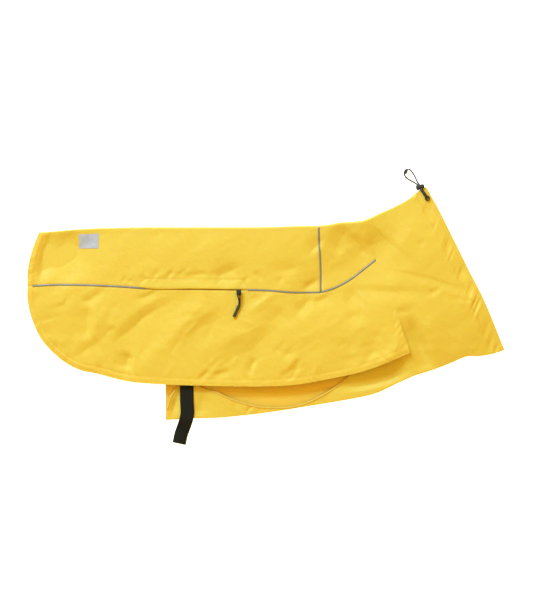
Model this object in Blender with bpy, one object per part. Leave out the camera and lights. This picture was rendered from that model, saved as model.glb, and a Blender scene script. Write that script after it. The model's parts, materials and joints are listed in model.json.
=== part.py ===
"""Dog raincoat of coated nylon, folded along its spine and laid flat on its far side.

X runs from the tail to the neck, Y from the belly to the spine and Z up out of the surface it lies on.
The far half is flat on the surface. The near half lies over it and puffs up a little between the folds.
Sizes are in millimetres and become metres where a mesh is made.
"""

import bmesh
import bpy
import numpy as np

MM = 0.001
CENTRE = np.array([-0.62, 0.23])  # middle of the plan's extents, which becomes the origin

WALL = 1.0  # cloth, with its coating
HEM_EXTRA = 0.5  # what a turned hem adds to the outside
HEM_WIDTH = 8.0
HEM_STEP = 1.5  # run in which the hem's thickness ends
SEAM_GAP = 0.3
HALF_GAP = SEAM_GAP / 2
LIE_GAP = 0.55  # over a panel, whose facets stray a little from the smooth surface
STACK = 1.3  # a layer that lies on the far flap
FAR_INSET = 1.5  # the far flap stands back from the near one
FAR_MARGIN = 10.0  # how far past the far flap's edge the layer over it stays up
STEP_RUN = 7.0  # and the run in which it then comes down
FOLD_REACH = 4.0  # how far inside a folded edge the near half sets the fold's height
CASING_WIDTH = 19.0
CASING_EXTRA = 0.5
PUCKER_COUNT = 13
PUCKER_HEIGHT = 0.7

PIPING_WIDTH = 2.4
PIPING_HEIGHT = 1.4
BINDING_WIDTH = 2.2
BINDING_HEIGHT = 0.9
BINDING_START = 74.0  # along the belly edge, past the strap
BINDING_END = 14.0

STRAP_WIDTH = 20.0
STRAP_THICK = 1.4
STRAP_END_THICK = 2.7
STRAP_END_LENGTH = 22.0
STRAP_LINE = [(-118, -92), (-118, -120), (-118, -150), (-121, -160), (-126.5, -175), (-129.5, -189)]
STRAP_DROP = [(-151.5, 5.1), (-154, 4.8), (-157, 3.7), (-161, 2.1), (-165, 0.9), (-170, 0.1), (-174, 0.0)]

CORD_DIAMETER = 2.1
STEM_ROUTE = [
    (238.2, 173.7, 6.1), (238.1, 173.9, 7.3), (237.3, 175.0, 8.2), (235.8, 177.2, 8.1), (233.4, 180.6, 7.4),
    (231.2, 183.9, 6.4), (229.5, 187.1, 5.1),
]
RIGHT_ROUTE = [
    (225.6, 195.2, 3.3), (224.0, 197.9, 2.3), (222.6, 200.5, 1.6), (220, 206.5, 1.15), (217, 211.5, 1.15),
    (213.8, 215.6, 1.3), (210.9, 217.4, 1.9), (208.3, 217.3, 2.6),
]
LEFT_ROUTE = [
    (223.1, 194.6, 3.3), (221.1, 196.4, 2.3), (216.5, 199.2, 1.4), (211, 202.2, 1.15), (207.2, 204.9, 1.3),
    (204.9, 207.6, 1.9), (204.2, 210.1, 2.6),
]
CORD_SPREAD = 1.2  # half the distance between the two strands
CORD_HEADING = (-8.5, 12.0)
LOCK_AXIS = (12.0, 3.5)
END_AXIS = (4.1, 7.2)
LOCK_CENTRE = (227.5, 191.0, 3.8)
LOCK_LENGTH = 12.6
LOCK_DEPTH = 7.4
LOCK_HEIGHT = 7.2
END_CENTRE = (206.0, 213.8, 2.7)
END_LENGTH = 6.6
END_DIAMETER = 5.0
EYELET_CENTRE = (238.0, 174.0)
EYELET_OUTER = 3.8
EYELET_INNER = 2.6
EYELET_HEIGHT = 1.0

PATCH_CORNERS = ((-277.5, 126.0), (-248.0, 100.0))
PATCH_THICK = 0.5
WELT_TOP = [(-180, 55), (-110, 54), (-33.5, 53)]
WELT_LIP = [(-186, 43.5), (-110, 41.8), (-28, 40.6)]
WELT_THICK = 0.8
LIP_THICK = 1.6
TAPE_LINE = [(-174, 39.7), (-100, 38.7), (-46.5, 38.0)]
TAPE_WIDTH = 2.4
TAPE_THICK = 0.8

SLIDER_CENTRE = (-40.8, 34.8)
SLIDER_WIDTH = 7.0
SLIDER_LENGTH = 8.6
SLIDER_HEIGHT = 2.6
BAIL_WIDTH = 1.8
BAIL_LENGTH = 6.4
BAIL_RISE = 3.0
BAIL_BAR = 0.8
PULL_CORD = 1.5
PULL_SPREAD = 2.0  # half the width of the cord's loop through the bail
GRIP_TOP = (-40.6, 15.5)
GRIP_CLEAR = 0.5  # over the cloth
GRIP_LENGTH = 18.5
GRIP_WIDTH = 4.8
GRIP_THICK = 3.4
GRIP_LEAN = 24.0  # degrees that the grip lies off the straight

# Outline, as points (x, y) that smooth lines pass through.
SPINE = [
    (-336.5, 124), (-310, 126), (-282, 128.5), (-217, 131), (-100, 131.5), (5, 132), (49.5, 133.5), (77, 134),
]
YOKE_TOP = [(77, 134), (95, 136), (107, 138.5), (124, 139.5), (142, 141.5), (154.5, 146)]
NAPE = [(154.5, 146), (166.5, 151.8), (186, 160.5), (214.5, 176.5), (223.5, 184), (236.5, 191.5)]
MOUTH = [(236.5, 191.5), (253.5, 160.5), (275.2, 117), (299.3, 68), (320.4, 26.5), (338, -15), (352.5, -50.5)]
THROAT = [(220, -88), (243, -81), (274, -69.2), (297, -60), (315, -59.5), (335.5, -56), (352.5, -50.5)]
BELLY_FOLD = [
    (-149.5, -154), (-107.5, -151.7), (-70.5, -150.7), (-37.5, -147.6), (-9.5, -144.4), (42, -136.8),
    (80.5, -130.5), (124.5, -123), (162, -114.5), (196.5, -98.5), (220, -88),
]
TAIL_UPPER = [(-336.5, 124), (-346, 98.5), (-350.5, 81.5), (-353, 66.5), (-353.5, 44)]
TAIL_LOWER = [(-353.5, 44), (-353.5, 23.5), (-350.5, 6.5), (-344, -13.5), (-333.5, -34.5), (-319.5, -51)]
HEM = [
    (-319.5, -51), (-302.8, -65.5), (-288.5, -74.5), (-274, -80.5), (-254.5, -84.5), (-205, -96.5),
    (-149.5, -101), (-88.5, -103), (-9.5, -104), (42, -101.5), (93.5, -92.5), (132, -84.5), (171, -71.5),
    (212, -54),
]
LONG_SEAM = [
    (-353.5, 44), (-308, 46), (-264, 45.5), (-203, 42.5), (-177.5, 40.5), (-100, 39.5), (-27.5, 38.5),
    (5, 37.5), (34, 35), (80, 35),
]
SHOULDER_SEAM = [(80, 35), (98.5, 40.5), (114, 48), (127, 56), (140, 66), (161.5, 83)]
WITHERS_SEAM = [(77, 134), (78, 104), (79.5, 80), (80, 35)]
NECK_SEAM = [(154.5, 146), (160.5, 120), (161.5, 83)]
FRONT_SEAM = [(161.5, 83), (175.5, 46), (196, 3)]
FLAP_FRONT = [(196, 3), (196.5, -6), (201, -21), (207, -38), (212, -54)]
FAR_FLAP_FRONT = [(196, 3), (184, -8), (175, -25), (173, -48), (177, -69)]
FAR_HEM = HEM[:-2] + [FAR_FLAP_FRONT[-1]]
CHEST_SEAM = [(196, 3), (198.5, -9), (200.5, -19), (199, -29.5), (202, -44.5), (211, -66.5), (220, -88)]
CHEST_SEAM_START = (200.5, -19.0)
BELLY_EDGE = [
    (-148.5, -143.5), (-145.5, -129.5), (-141.5, -117), (-134, -107), (-123.5, -98.5), (-110.5, -98),
    (-96, -105.5), (-73.5, -112.5), (-52, -122.5), (-31, -129), (-9.5, -134), (11.5, -135), (33, -134.5),
    (53, -130), (86, -114.5), (126.5, -84), (146, -63.5), (168, -38.5), (185.5, -24), (200.5, -19),
]
FAR_BELLY_EDGE = [(-149.5, -92), (-60, -92), (60, -91), (100, -82), (140, -58), (175, -28), (200.5, -19)]

# Height of the near half's outside over the surface, as pins (x, y, height) under a thin plate.
DRAPE_PINS = [
    (-336, 122, 4.0), (-282, 127, 7.0), (-200, 131, 8.0), (-100, 131, 8.4), (0, 132, 8.4), (77, 134, 8.0),
    (116, 138, 8.0), (154, 145, 6.6), (190, 161, 6.2), (223, 182, 4.0), (236, 191, 3.2),
    (-345, 90, 4.4), (-305, 88, 8.0), (-230, 88, 10.5), (-150, 92, 11.0), (-70, 92, 11.0), (20, 88, 11.2),
    (70, 90, 10.4), (-345, 60, 4.2), (-275, 55, 8.6), (-195, 48, 9.6), (-100, 48, 9.4), (-25, 48, 9.6),
    (50, 44, 10.2), (116, 98, 10.6), (150, 112, 9.2), (-348, 9, 4.2), (-290, 6, 9.2), (-215, 9, 10.6),
    (-128, 2, 10.2), (-40, 2, 11.2), (50, 2, 12.2), (124, 16, 12.6), (175, 36, 12.0), (-313, -43, 4.6),
    (-245, -50, 8.6), (-157, -58, 9.8),
    (-68, -65, 11.0), (20, -62, 12.2), (110, -42, 13.0), (183, -28, 13.4),
    (-283, -76, 4.8), (-232, -90, 6.4), (-149, -100, 8.8), (-88, -103, 9.6), (-9, -104, 10.2), (42, -101, 10.8),
    (94, -92, 11.4), (132, -84, 12.4), (171, -71, 13.2), (211, -54, 13.8),
    (198, 112, 10.6), (227, 134, 8.6), (257, 98, 10.4), (242, 38, 12.6), (301, 24, 9.4), (257, -21, 12.0),
    (316, -21, 7.6), (286, -50, 7.0), (235, -58, 10.6), (253, 160, 4.8), (274, 117, 5.0), (297, 68, 5.2),
    (317, 27, 5.2), (335, -15, 4.8), (352, -50, 3.8), (335, -55, 4.6), (297, -59, 5.6),
    (274, -67, 6.4), (243, -80, 7.0), (220, -88, 7.2),
]
BELLY_PINS = [
    (-148, -150, 4.2), (-100, -151, 4.6), (-40, -147, 4.8), (20, -139, 5.0), (80, -129, 5.2), (125, -122, 5.6),
    (162, -114, 6.0), (196, -98, 6.6), (220, -88, 7.2), (211, -66, 7.2), (202, -44, 6.8), (199, -30, 6.8),
    (201, -19, 7.6), (185, -22, 6.6), (146, -64, 5.0), (112, -96, 4.8), (175, -84, 4.6), (53, -130, 5.4),
    (-10, -134, 5.2), (-73, -112, 5.0), (-120, -98, 4.8),
]

# Largest folds: a soft trough (negative) or ridge along a line from (x0, y0) to (x1, y1).
FOLDS = [
    # x0, y0, x1, y1, half width, height
    (-134.5, 25, -176, 9, 9, -2.4),
    (-176, 9, -200, -15, 9, -2.8),
    (-200, -15, -237.5, -44.5, 8, -2.2),
    (-160, 20, -215, -4, 9, 1.4),
    (-53, 9, -115, -17, 9, -1.8),
    (5, -15, -58.5, -35.5, 10, -2.0),
    (20, 27, -10, 5, 8, 1.6),
    (22, -2, -10, -22, 8, -1.8),
    (-35, -47, -67, -75, 8, -1.8),
    (-98, 116, -60, 77, 10, -1.8),
    (-47, 77, -80, 56, 7, -2.0),
    (-282, 94, -317, 72.5, 9, -1.6),
    (71, 59, 49, 39, 6, -1.8),
    (116, 138, 88, 101, 10, -1.8),
    (157, 143, 182, 119, 8, -2.0),
    (182, 119, 167, 108, 7, -1.8),
    (218, 145, 184, 76, 9, 2.4),
    (213, 3, 238, -54, 9, 2.2),
    (123, -30, 88, -78, 11, -1.8),
    (293, -59, 221, -76, 8, -1.6),
]
FLAP_CORNER = (212.0, -54.0)
FLAP_LIFT = 1.2  # the free front corner of the flap stands up
FLAP_LIFT_REACH = 60.0
CHEST_DIP = 4.6  # the chest dives under that corner
CHEST_DIP_REACH = 16.0


def path(points, at, start=0.0, end=0.0, samples=40):
    """Points at fractions of the smooth line (cubic Hermite) through the points, less a length at each end."""
    knots = np.array(points, float)
    reach = np.concatenate([[0], np.cumsum(np.linalg.norm(np.diff(knots, axis=0), axis=1))])
    straight = np.diff(knots, axis=0).repeat(2, axis=0) / reach[-1]
    slope = np.gradient(knots, reach, axis=0) if len(knots) > 2 else straight
    fine = np.linspace(0, reach[-1], samples * len(knots))
    i = np.clip(np.searchsorted(reach, fine, side="right") - 1, 0, len(knots) - 2)
    span = reach[i + 1] - reach[i]
    s = ((fine - reach[i]) / span)[:, None]
    line = (
        (1 + 2 * s) * (1 - s) ** 2 * knots[i]
        + s * (1 - s) ** 2 * span[:, None] * slope[i]
        + s * s * (3 - 2 * s) * knots[i + 1]
        + s * s * (s - 1) * span[:, None] * slope[i + 1]
    )
    return spaced(line, at, start, end)


def spaced(line, at, start=0.0, end=0.0):
    """Points at fractions of a polyline's length, less a length at each end."""
    reach = np.concatenate([[0], np.cumsum(np.linalg.norm(np.diff(line, axis=0), axis=1))])
    wanted = start + np.asarray(at) * (reach[-1] - start - end)
    return np.stack([np.interp(wanted, reach, column) for column in line.T], axis=1)


def line_of(points, shift=0.0):
    """The smooth line through the points as a function of fractions, moved along X by a shift."""

    def at(rows):
        return path(points, rows) + np.array([shift, 0])

    return at


def joined(pieces, at, start=0.0, end=0.0):
    """Like path, but sharp where one piece of the line meets the next."""
    return spaced(np.concatenate([path(piece, fractions(60)) for piece in pieces]), at, start, end)


def length(points):
    return np.sum(np.linalg.norm(np.diff(path(points, fractions(80)), axis=0), axis=1))


def stations(pieces, counts):
    """Fractions of a joined line's length that divide each of its pieces into equal steps."""
    marks = np.cumsum([0] + [length(piece) for piece in pieces]) / sum(length(piece) for piece in pieces)
    steps = [np.linspace(a, b, count, endpoint=False) for a, b, count in zip(marks, marks[1:], counts)]
    return np.concatenate(steps + [[1.0]])


def outward(line, side):
    """Unit normals of a plan line, to its left (side 1) or right (side -1)."""
    along = np.gradient(line, axis=0)
    along /= np.linalg.norm(along, axis=1)[:, None]
    return side * np.stack([-along[:, 1], along[:, 0]], axis=1)


def patch(left, right, top, bottom, u, v):
    """Coons patch between four plan lines: left and right run downwards, top and bottom from left to right."""
    u = np.asarray(u)[:, None, None]
    v = np.asarray(v)[None, :, None]
    left = np.concatenate([top[:1], left[1:-1], bottom[:1]])
    right = np.concatenate([top[-1:], right[1:-1], bottom[-1:]])
    sides = (1 - u) * left[None] + u * right[None]
    ends = (1 - v) * top[:, None] + v * bottom[:, None]
    corners = (
        (1 - u) * (1 - v) * top[0] + u * (1 - v) * top[-1] + (1 - u) * v * bottom[0] + u * v * bottom[-1]
    )
    return sides + ends - corners


def step(x):
    """0 below 0, 1 above 1, smooth between."""
    x = np.clip(x, 0, 1)
    return x * x * (3 - 2 * x)


def plate(pins):
    """Height as a function of x and y: the thin plate that passes through the pins."""
    pins = np.array(pins, float)
    spots = pins[:, :2] / 100

    def bend(a, b):
        far = np.sum((a[:, None] - b[None]) ** 2, axis=2)
        return far * np.log(far + 1e-9)

    size = len(pins)
    system = np.zeros((size + 3, size + 3))
    system[:size, :size] = bend(spots, spots)
    system[:size, size] = system[size, :size] = 1
    system[:size, size + 1:] = spots
    system[size + 1:, :size] = spots.T
    weights = np.linalg.solve(system, np.concatenate([pins[:, 2], np.zeros(3)]))

    def height(x, y):
        at = np.stack([np.ravel(x), np.ravel(y)], axis=1) / 100
        z = bend(at, spots) @ weights[:size] + weights[size] + at @ weights[size + 1:]
        return z.reshape(np.shape(x))

    return height


def folds(x, y):
    """Sum of the folds: each falls off as a bell curve of the distance to its line."""
    z = np.zeros(np.shape(x))
    for x0, y0, x1, y1, half_width, height in FOLDS:
        along = np.array([x1 - x0, y1 - y0])
        t = np.clip(((x - x0) * along[0] + (y - y0) * along[1]) / (along @ along), 0, 1)
        away = (x - x0 - t * along[0]) ** 2 + (y - y0 - t * along[1]) ** 2
        z = z + height * np.exp(-away / half_width**2)
    return z


drape = plate(DRAPE_PINS)
belly_drape = plate(BELLY_PINS)


def near_top(x, y):
    """Outside of the near half."""
    return drape(x, y) + folds(x, y)


def flap_top(x, y):
    """The near half on the flap, whose front corner is lifted."""
    corner = np.exp(-((x - FLAP_CORNER[0]) ** 2 + (y - FLAP_CORNER[1]) ** 2) / FLAP_LIFT_REACH**2)
    return near_top(x, y) + FLAP_LIFT * corner


def chest_top(x, y):
    """The near half on the chest, which dips beside the flap's front edge."""
    front = np.array(FLAP_FRONT)[::-1]
    beside = np.exp(-(np.maximum(x - np.interp(y, front[:, 1], front[:, 0]), 0) / CHEST_DIP_REACH) ** 2)
    down = step((front[-1, 1] - y) / 20) * (1 - step((-50 - y) / 34))
    return near_top(x, y) - CHEST_DIP * beside * down


def far_bottom(x, y):
    """Underside of the far belly half: on the surface, or on the far flap where that reaches under it."""
    hem = np.array(HEM)
    front = np.array(FAR_FLAP_FRONT)[::-1]
    over = step((y - np.interp(x, hem[:, 0], hem[:, 1]) + FAR_MARGIN + STEP_RUN) / STEP_RUN)
    behind = step((np.interp(y, front[:, 1], front[:, 0]) + FAR_MARGIN + STEP_RUN - x) / STEP_RUN)
    return STACK * over * behind


def finish(name, colour, roughness, metallic=0.0):
    material = bpy.data.materials.new(name)
    material.use_nodes = True
    shader = material.node_tree.nodes["Principled BSDF"]
    shader.inputs["Base Color"].default_value = (*colour, 1.0)
    shader.inputs["Roughness"].default_value = roughness
    shader.inputs["Metallic"].default_value = metallic
    return material


def add_mesh(name, points, faces, material, origin=(0.0, 0.0, 0.0)):
    """An object from points in millimetres, faces turned outwards, with its origin at a point of the frame."""
    points = np.array(points, float)
    points[:, :2] -= CENTRE
    origin = np.array(origin, float)
    mesh = bpy.data.meshes.new(name)
    mesh.from_pydata([tuple(p) for p in (points - origin) * MM], [], faces)
    form = bmesh.new()
    form.from_mesh(mesh)
    if form.calc_volume(signed=True) < 0:
        bmesh.ops.reverse_faces(form, faces=form.faces)
    form.to_mesh(mesh)
    form.free()
    mesh.shade_smooth()
    mesh.set_sharp_from_angle(angle=np.radians(40))
    mesh.materials.append(material)
    node = bpy.data.objects.new(name, mesh)
    node.location = tuple(origin * MM)
    bpy.context.scene.collection.objects.link(node)
    return node


def cloth(name, outer, inner, material, tube=False):
    """A wall between two grids of points; a tube closes on itself across the grid."""
    nu, nv = outer.shape[:2]
    spread = nv if tube else nv - 1
    inside = nu * nv

    def at(i, j):
        return i * nv + j % nv

    faces = []
    for i in range(nu - 1):
        for j in range(spread):
            ring = [at(i, j), at(i + 1, j), at(i + 1, j + 1), at(i, j + 1)]
            faces.append(ring)
            faces.append([inside + k for k in reversed(ring)])
    for i, turn in ((0, 1), (nu - 1, -1)):
        for j in range(spread):
            edge = [at(i, j), at(i, j + 1), inside + at(i, j + 1), inside + at(i, j)]
            faces.append(edge[::turn])
    for j, turn in () if tube else ((0, -1), (nv - 1, 1)):
        for i in range(nu - 1):
            edge = [at(i, j), at(i + 1, j), inside + at(i + 1, j), inside + at(i, j)]
            faces.append(edge[::turn])
    points = np.concatenate([outer.reshape(-1, 3), inner.reshape(-1, 3)])
    return add_mesh(name, points, faces, material)


def loft(name, rings, material, origin=(0.0, 0.0, 0.0)):
    """A closed solid through rings of points, capped at both ends."""
    count, size = rings.shape[:2]
    faces = [list(range(size))[::-1], [(count - 1) * size + k for k in range(size)]]
    for i in range(count - 1):
        for k in range(size):
            after = (k + 1) % size
            faces.append([i * size + k, i * size + after, (i + 1) * size + after, (i + 1) * size + k])
    return add_mesh(name, rings.reshape(-1, 3), faces, material, origin)


def lifted(grid, height):
    """Plan points with a height, as points in space."""
    return np.concatenate([grid, np.broadcast_to(height, grid.shape[:2])[..., None]], axis=2)


def fold_rows(line, normals, radius, wall, steps=5):
    """Rows that turn from the top of the near half (first) round a folded edge to the far half (last)."""
    turn = np.linspace(np.pi / 2, -np.pi / 2, steps + 1)[None, :, None]
    centre = (line - normals * radius[:, None])[:, None]

    def skin(r):
        plan = centre + normals[:, None] * r[:, None, None] * np.cos(turn)
        return np.concatenate([plan, radius[:, None, None] + r[:, None, None] * np.sin(turn)], axis=2)

    return skin(radius), skin(radius - wall)


def fractions(count):
    return np.linspace(0, 1, count)


def folded_edge(line, side, top):
    """The outward normals of a fold and its radius, which is half the near half's height there."""
    normals = outward(line, side)
    near = line - normals * FOLD_REACH
    return normals, top(near[:, 0], near[:, 1]) / 2


def back_shape(name, tail, front, ridge, seam, u, v, far_v, hem, material):
    """A panel over both halves, folded on the ridge, whose edges follow the seam. Its hem is at the tail."""
    normals, radius = folded_edge(ridge, 1, near_top)
    crest = ridge - normals * radius[:, None]
    seam_line = seam + outward(seam, 1) * HALF_GAP
    near = patch(tail(v), front(v), crest, seam_line, u, v)
    top = near_top(near[..., 0], near[..., 1])
    top[:, 0] = 2 * radius
    band = hem * step(HEM_WIDTH - (near[..., 0] - near[:1, :, 0]))
    far = patch(tail(far_v), front(far_v), crest, seam_line, u, far_v)
    turn_out, turn_in = fold_rows(ridge, normals, radius, WALL)
    outer = [lifted(near[:, ::-1], (top + band)[:, ::-1])[:, :-1], turn_out, lifted(far, 0)[:, 1:]]
    inner = [lifted(near[:, ::-1], (top - WALL)[:, ::-1])[:, :-1], turn_in, lifted(far, WALL)[:, 1:]]
    return cloth(name, np.concatenate(outer, axis=1), np.concatenate(inner, axis=1), material)


def build_back(material):
    hem_end = np.array([HEM_WIDTH, HEM_WIDTH + HEM_STEP]) / length(LONG_SEAM)
    u = np.concatenate([[0], hem_end, np.linspace(0.05, 1, 30)])
    v = fractions(10)
    seam = path(LONG_SEAM, u, end=HALF_GAP)
    ridge = path(SPINE, u, end=HALF_GAP)
    tail = line_of(TAIL_UPPER)
    front = line_of(WITHERS_SEAM, -HALF_GAP)
    back_shape("back_panel", tail, front, ridge, seam, u, v, fractions(3), HEM_EXTRA, material)


def build_yoke(material):
    u = fractions(9)
    v = fractions(9)
    seam = path(SHOULDER_SEAM, u, HALF_GAP, HALF_GAP)
    ridge = path(YOKE_TOP, u, HALF_GAP, HALF_GAP)
    left = line_of(WITHERS_SEAM, HALF_GAP)
    right = line_of(NECK_SEAM, -HALF_GAP)
    back_shape("yoke", left, right, ridge, seam, u, v, fractions(3), 0.0, material)


def side_plan(u, v, hem, front, inset):
    """Plan of a side panel: long and shoulder seams above, hem below, the tail's curve and the front."""
    top = joined([LONG_SEAM, SHOULDER_SEAM], u, end=HALF_GAP)
    top = top - outward(top, 1) * HALF_GAP
    bottom = path(hem, u)
    bottom = bottom + outward(bottom, 1) * inset
    left = path(TAIL_LOWER, v) + np.array([inset, 0])
    right = joined([FRONT_SEAM, front], v) - np.array([HALF_GAP, 0])
    return patch(left, right, top, bottom, u, v)


def build_sides(near_material, far_material):
    seams = [LONG_SEAM, SHOULDER_SEAM]
    fronts = [FRONT_SEAM, FLAP_FRONT]
    hem_end = HEM_WIDTH / sum(length(piece) for piece in seams)
    hem_start = 1 - HEM_WIDTH / sum(length(piece) for piece in fronts)
    u = stations(seams, (30, 7))
    u = np.concatenate([[0, hem_end, hem_end * (1 + HEM_STEP / HEM_WIDTH)], u[2:]])
    v = stations(fronts, (7, 5))
    v = np.concatenate([v[:-1], [hem_start - (1 - hem_start) * HEM_STEP / HEM_WIDTH, hem_start, 1]])
    plan = side_plan(u, v, HEM, FLAP_FRONT, 0)
    top = flap_top(plan[..., 0], plan[..., 1])
    hem = np.where((v >= hem_start)[None, :] | (u <= hem_end)[:, None], HEM_EXTRA, 0)
    cloth("side_near", lifted(plan, top + hem), lifted(plan, top - WALL), near_material)
    u = stations(seams, (28, 7))
    v = stations([FRONT_SEAM, FAR_FLAP_FRONT], (3, 2))
    plan = side_plan(u, v, FAR_HEM, FAR_FLAP_FRONT, FAR_INSET)
    cloth("side_far", lifted(plan, 0), lifted(plan, WALL), far_material)


def tube_rows(left, right, nape, throat, u, v, far_v, top, extra, wall):
    """Outer and inner grids of a flat tube: near half, throat fold, far half and nape fold."""
    up, up_radius = folded_edge(nape, 1, near_top)
    down, down_radius = folded_edge(throat, -1, near_top)
    up_radius = up_radius + extra / 2
    down_radius = down_radius + extra / 2
    crest = nape - up * up_radius[:, None]
    keel = throat - down * down_radius[:, None]
    near = patch(left(v), right(v), crest, keel, u, v)
    far = patch(left(far_v), right(far_v), crest, keel, u, far_v)[:, ::-1]
    height = top(near, v) + extra
    height[:, 0] = 2 * up_radius
    height[:, -1] = 2 * down_radius
    low_out, low_in = fold_rows(throat, down, down_radius, wall)
    high_out, high_in = fold_rows(nape, up, up_radius, wall)
    outer = [lifted(near, height)[:, 1:-1], low_out, lifted(far, 0)[:, 1:-1], high_out[:, ::-1]]
    inner = [lifted(near, height - wall)[:, 1:-1], low_in, lifted(far, wall)[:, 1:-1], high_in[:, ::-1]]
    return np.concatenate(outer, axis=1), np.concatenate(inner, axis=1)


def build_neck(material):
    mouth = line_of(MOUTH)
    neck_end = CASING_WIDTH + 3 * SEAM_GAP
    seams = [NECK_SEAM, FRONT_SEAM, CHEST_SEAM]

    def gathers(rows):
        return mouth(rows) - outward(mouth(rows), 1) * CASING_WIDTH

    def stop(rows):
        return mouth(rows) - outward(mouth(rows), 1) * neck_end

    def body(rows):
        return joined(seams, rows) + np.array([HALF_GAP, 0])

    def smooth(plan, rows):
        return chest_top(plan[..., 0], plan[..., 1])

    u = fractions(12)
    nape = path(NAPE, u, HALF_GAP, neck_end)
    throat = path(THROAT, u, HALF_GAP, neck_end)
    v = stations(seams, (5, 7, 8))
    far_v = stations(seams, (2, 3, 4))
    outer, inner = tube_rows(body, stop, nape, throat, u, v, far_v, smooth, 0.0, WALL)
    cloth("neck", outer, inner, material, tube=True)

    u = np.array([0, 0.12, 0.5, 1])
    nape = path(NAPE, u, length(NAPE) - CASING_WIDTH)
    throat = path(THROAT, u, length(THROAT) - CASING_WIDTH)

    def puckered(plan, rows):
        uneven = PUCKER_COUNT * rows + 0.3 * np.sin(9 * rows)
        wave = np.sin(2 * np.pi * uneven) * step(rows / 0.12) * step((1 - rows) / 0.06)
        swell = np.array([0, 0.6, 1, 0.5])[:, None]
        return near_top(plan[..., 0], plan[..., 1]) + PUCKER_HEIGHT * swell * wave

    v = fractions(4 * PUCKER_COUNT)
    wall = WALL + CASING_EXTRA
    outer, inner = tube_rows(gathers, mouth, nape, throat, u, v, far_v, puckered, CASING_EXTRA, wall)
    cloth("neck_casing", outer, inner, material, tube=True)


def build_chest(material):
    u = fractions(34)
    v = fractions(7)
    fold = path(BELLY_FOLD, u, end=HALF_GAP)
    normals, radius = folded_edge(fold, -1, belly_drape)
    keel = fold - normals * radius[:, None]
    edge = path(BELLY_EDGE, u, end=HALF_GAP)
    left = path([BELLY_EDGE[0], BELLY_FOLD[0]], v)
    lower = CHEST_SEAM[CHEST_SEAM.index(CHEST_SEAM_START):]
    right = line_of(lower, -HALF_GAP)
    near = patch(left, right(v), edge, keel, u, v)
    top = belly_drape(near[..., 0], near[..., 1])
    top[:, -1] = 2 * radius
    far_v = fractions(7)
    far_left = path([FAR_BELLY_EDGE[0], BELLY_FOLD[0]], far_v)
    far = patch(far_left, right(far_v), path(FAR_BELLY_EDGE, u, end=HALF_GAP), keel, u, far_v)[:, ::-1]
    low = far_bottom(far[..., 0], far[..., 1])
    low[:, 0] = 0
    turn_out, turn_in = fold_rows(fold, normals, radius, WALL)
    outer = [lifted(near, top)[:, :-1], turn_out, lifted(far, low)[:, 1:]]
    inner = [lifted(near, top - WALL)[:, :-1], turn_in, lifted(far, low + WALL)[:, 1:]]
    cloth("chest_belly", np.concatenate(outer, axis=1), np.concatenate(inner, axis=1), material)


def trim(name, line, width, thick, top, material, crown=0.5):
    """A narrow strip on a surface: its underside keeps a gap over it and its upper side is rounded."""
    across = outward(line, 1)
    reach = np.array([-0.5, -0.5, -0.25, 0.25, 0.5, 0.5]) * width
    rise = np.array([0, 1 - crown, 1, 1, 1 - crown, 0])
    plan = line[:, None] + across[:, None] * reach[None, :, None]
    thick = np.broadcast_to(thick, len(line))
    height = top(plan[..., 0], plan[..., 1]) + LIE_GAP + rise[None] * thick[:, None]
    return loft(name, lifted(plan, height), material)


def build_pipings(material):
    tail = path([p for p in LONG_SEAM if p[0] <= -177.5], fractions(16))
    tail[0, 0] += 8
    front = path([p for p in LONG_SEAM if p[0] >= -27.5], fractions(9))
    down = path(WITHERS_SEAM, fractions(9))
    curve = path(SHOULDER_SEAM, fractions(9))
    corner = PIPING_WIDTH / 2 + SEAM_GAP
    front[-1, 0] -= corner
    down[0, 1] -= 4.0
    down[-1, 1] = front[-1, 1] + corner
    curve[0] += np.array([corner, 0.2])
    lines = {"piping_tail": tail, "piping_front": front, "piping_vertical": down, "piping_curve": curve}
    for name, line in lines.items():
        trim(name, line, PIPING_WIDTH, PIPING_HEIGHT, flap_top, material)


def build_binding(material):
    line = path(BELLY_EDGE, fractions(40), BINDING_START, BINDING_END)
    line = line - outward(line, 1) * (BINDING_WIDTH / 2 + 0.4)
    trim("leg_binding", line, BINDING_WIDTH, BINDING_HEIGHT, belly_drape, material)


def strap_top(x, y):
    """What the strap lies on: the belly panel, its fold and then the surface."""
    drop = np.array(STRAP_DROP)[::-1]
    return np.where(y > drop[-1, 0], belly_drape(x, y), np.interp(y, drop[:, 0], drop[:, 1]) - LIE_GAP)


def build_strap(material):
    line = path(STRAP_LINE, fractions(25))
    reach = np.linspace(0, length(STRAP_LINE), len(line))
    thick = np.where(reach > reach[-1] - STRAP_END_LENGTH, STRAP_END_THICK, STRAP_THICK)
    trim("belly_strap", line, STRAP_WIDTH, thick, strap_top, material, crown=0.25)


def build_patch(material):
    (left, high), (right, low) = PATCH_CORNERS
    x, y = np.meshgrid(np.linspace(left, right, 5), np.linspace(high, low, 5), indexing="ij")
    y = y - 0.04 * (right - x) * step((y - low) / (high - low))
    base = near_top(x, y) + LIE_GAP
    plan = np.stack([x, y], axis=2)
    cloth("reflective_patch", lifted(plan, base + PATCH_THICK), lifted(plan, base), material)


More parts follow.
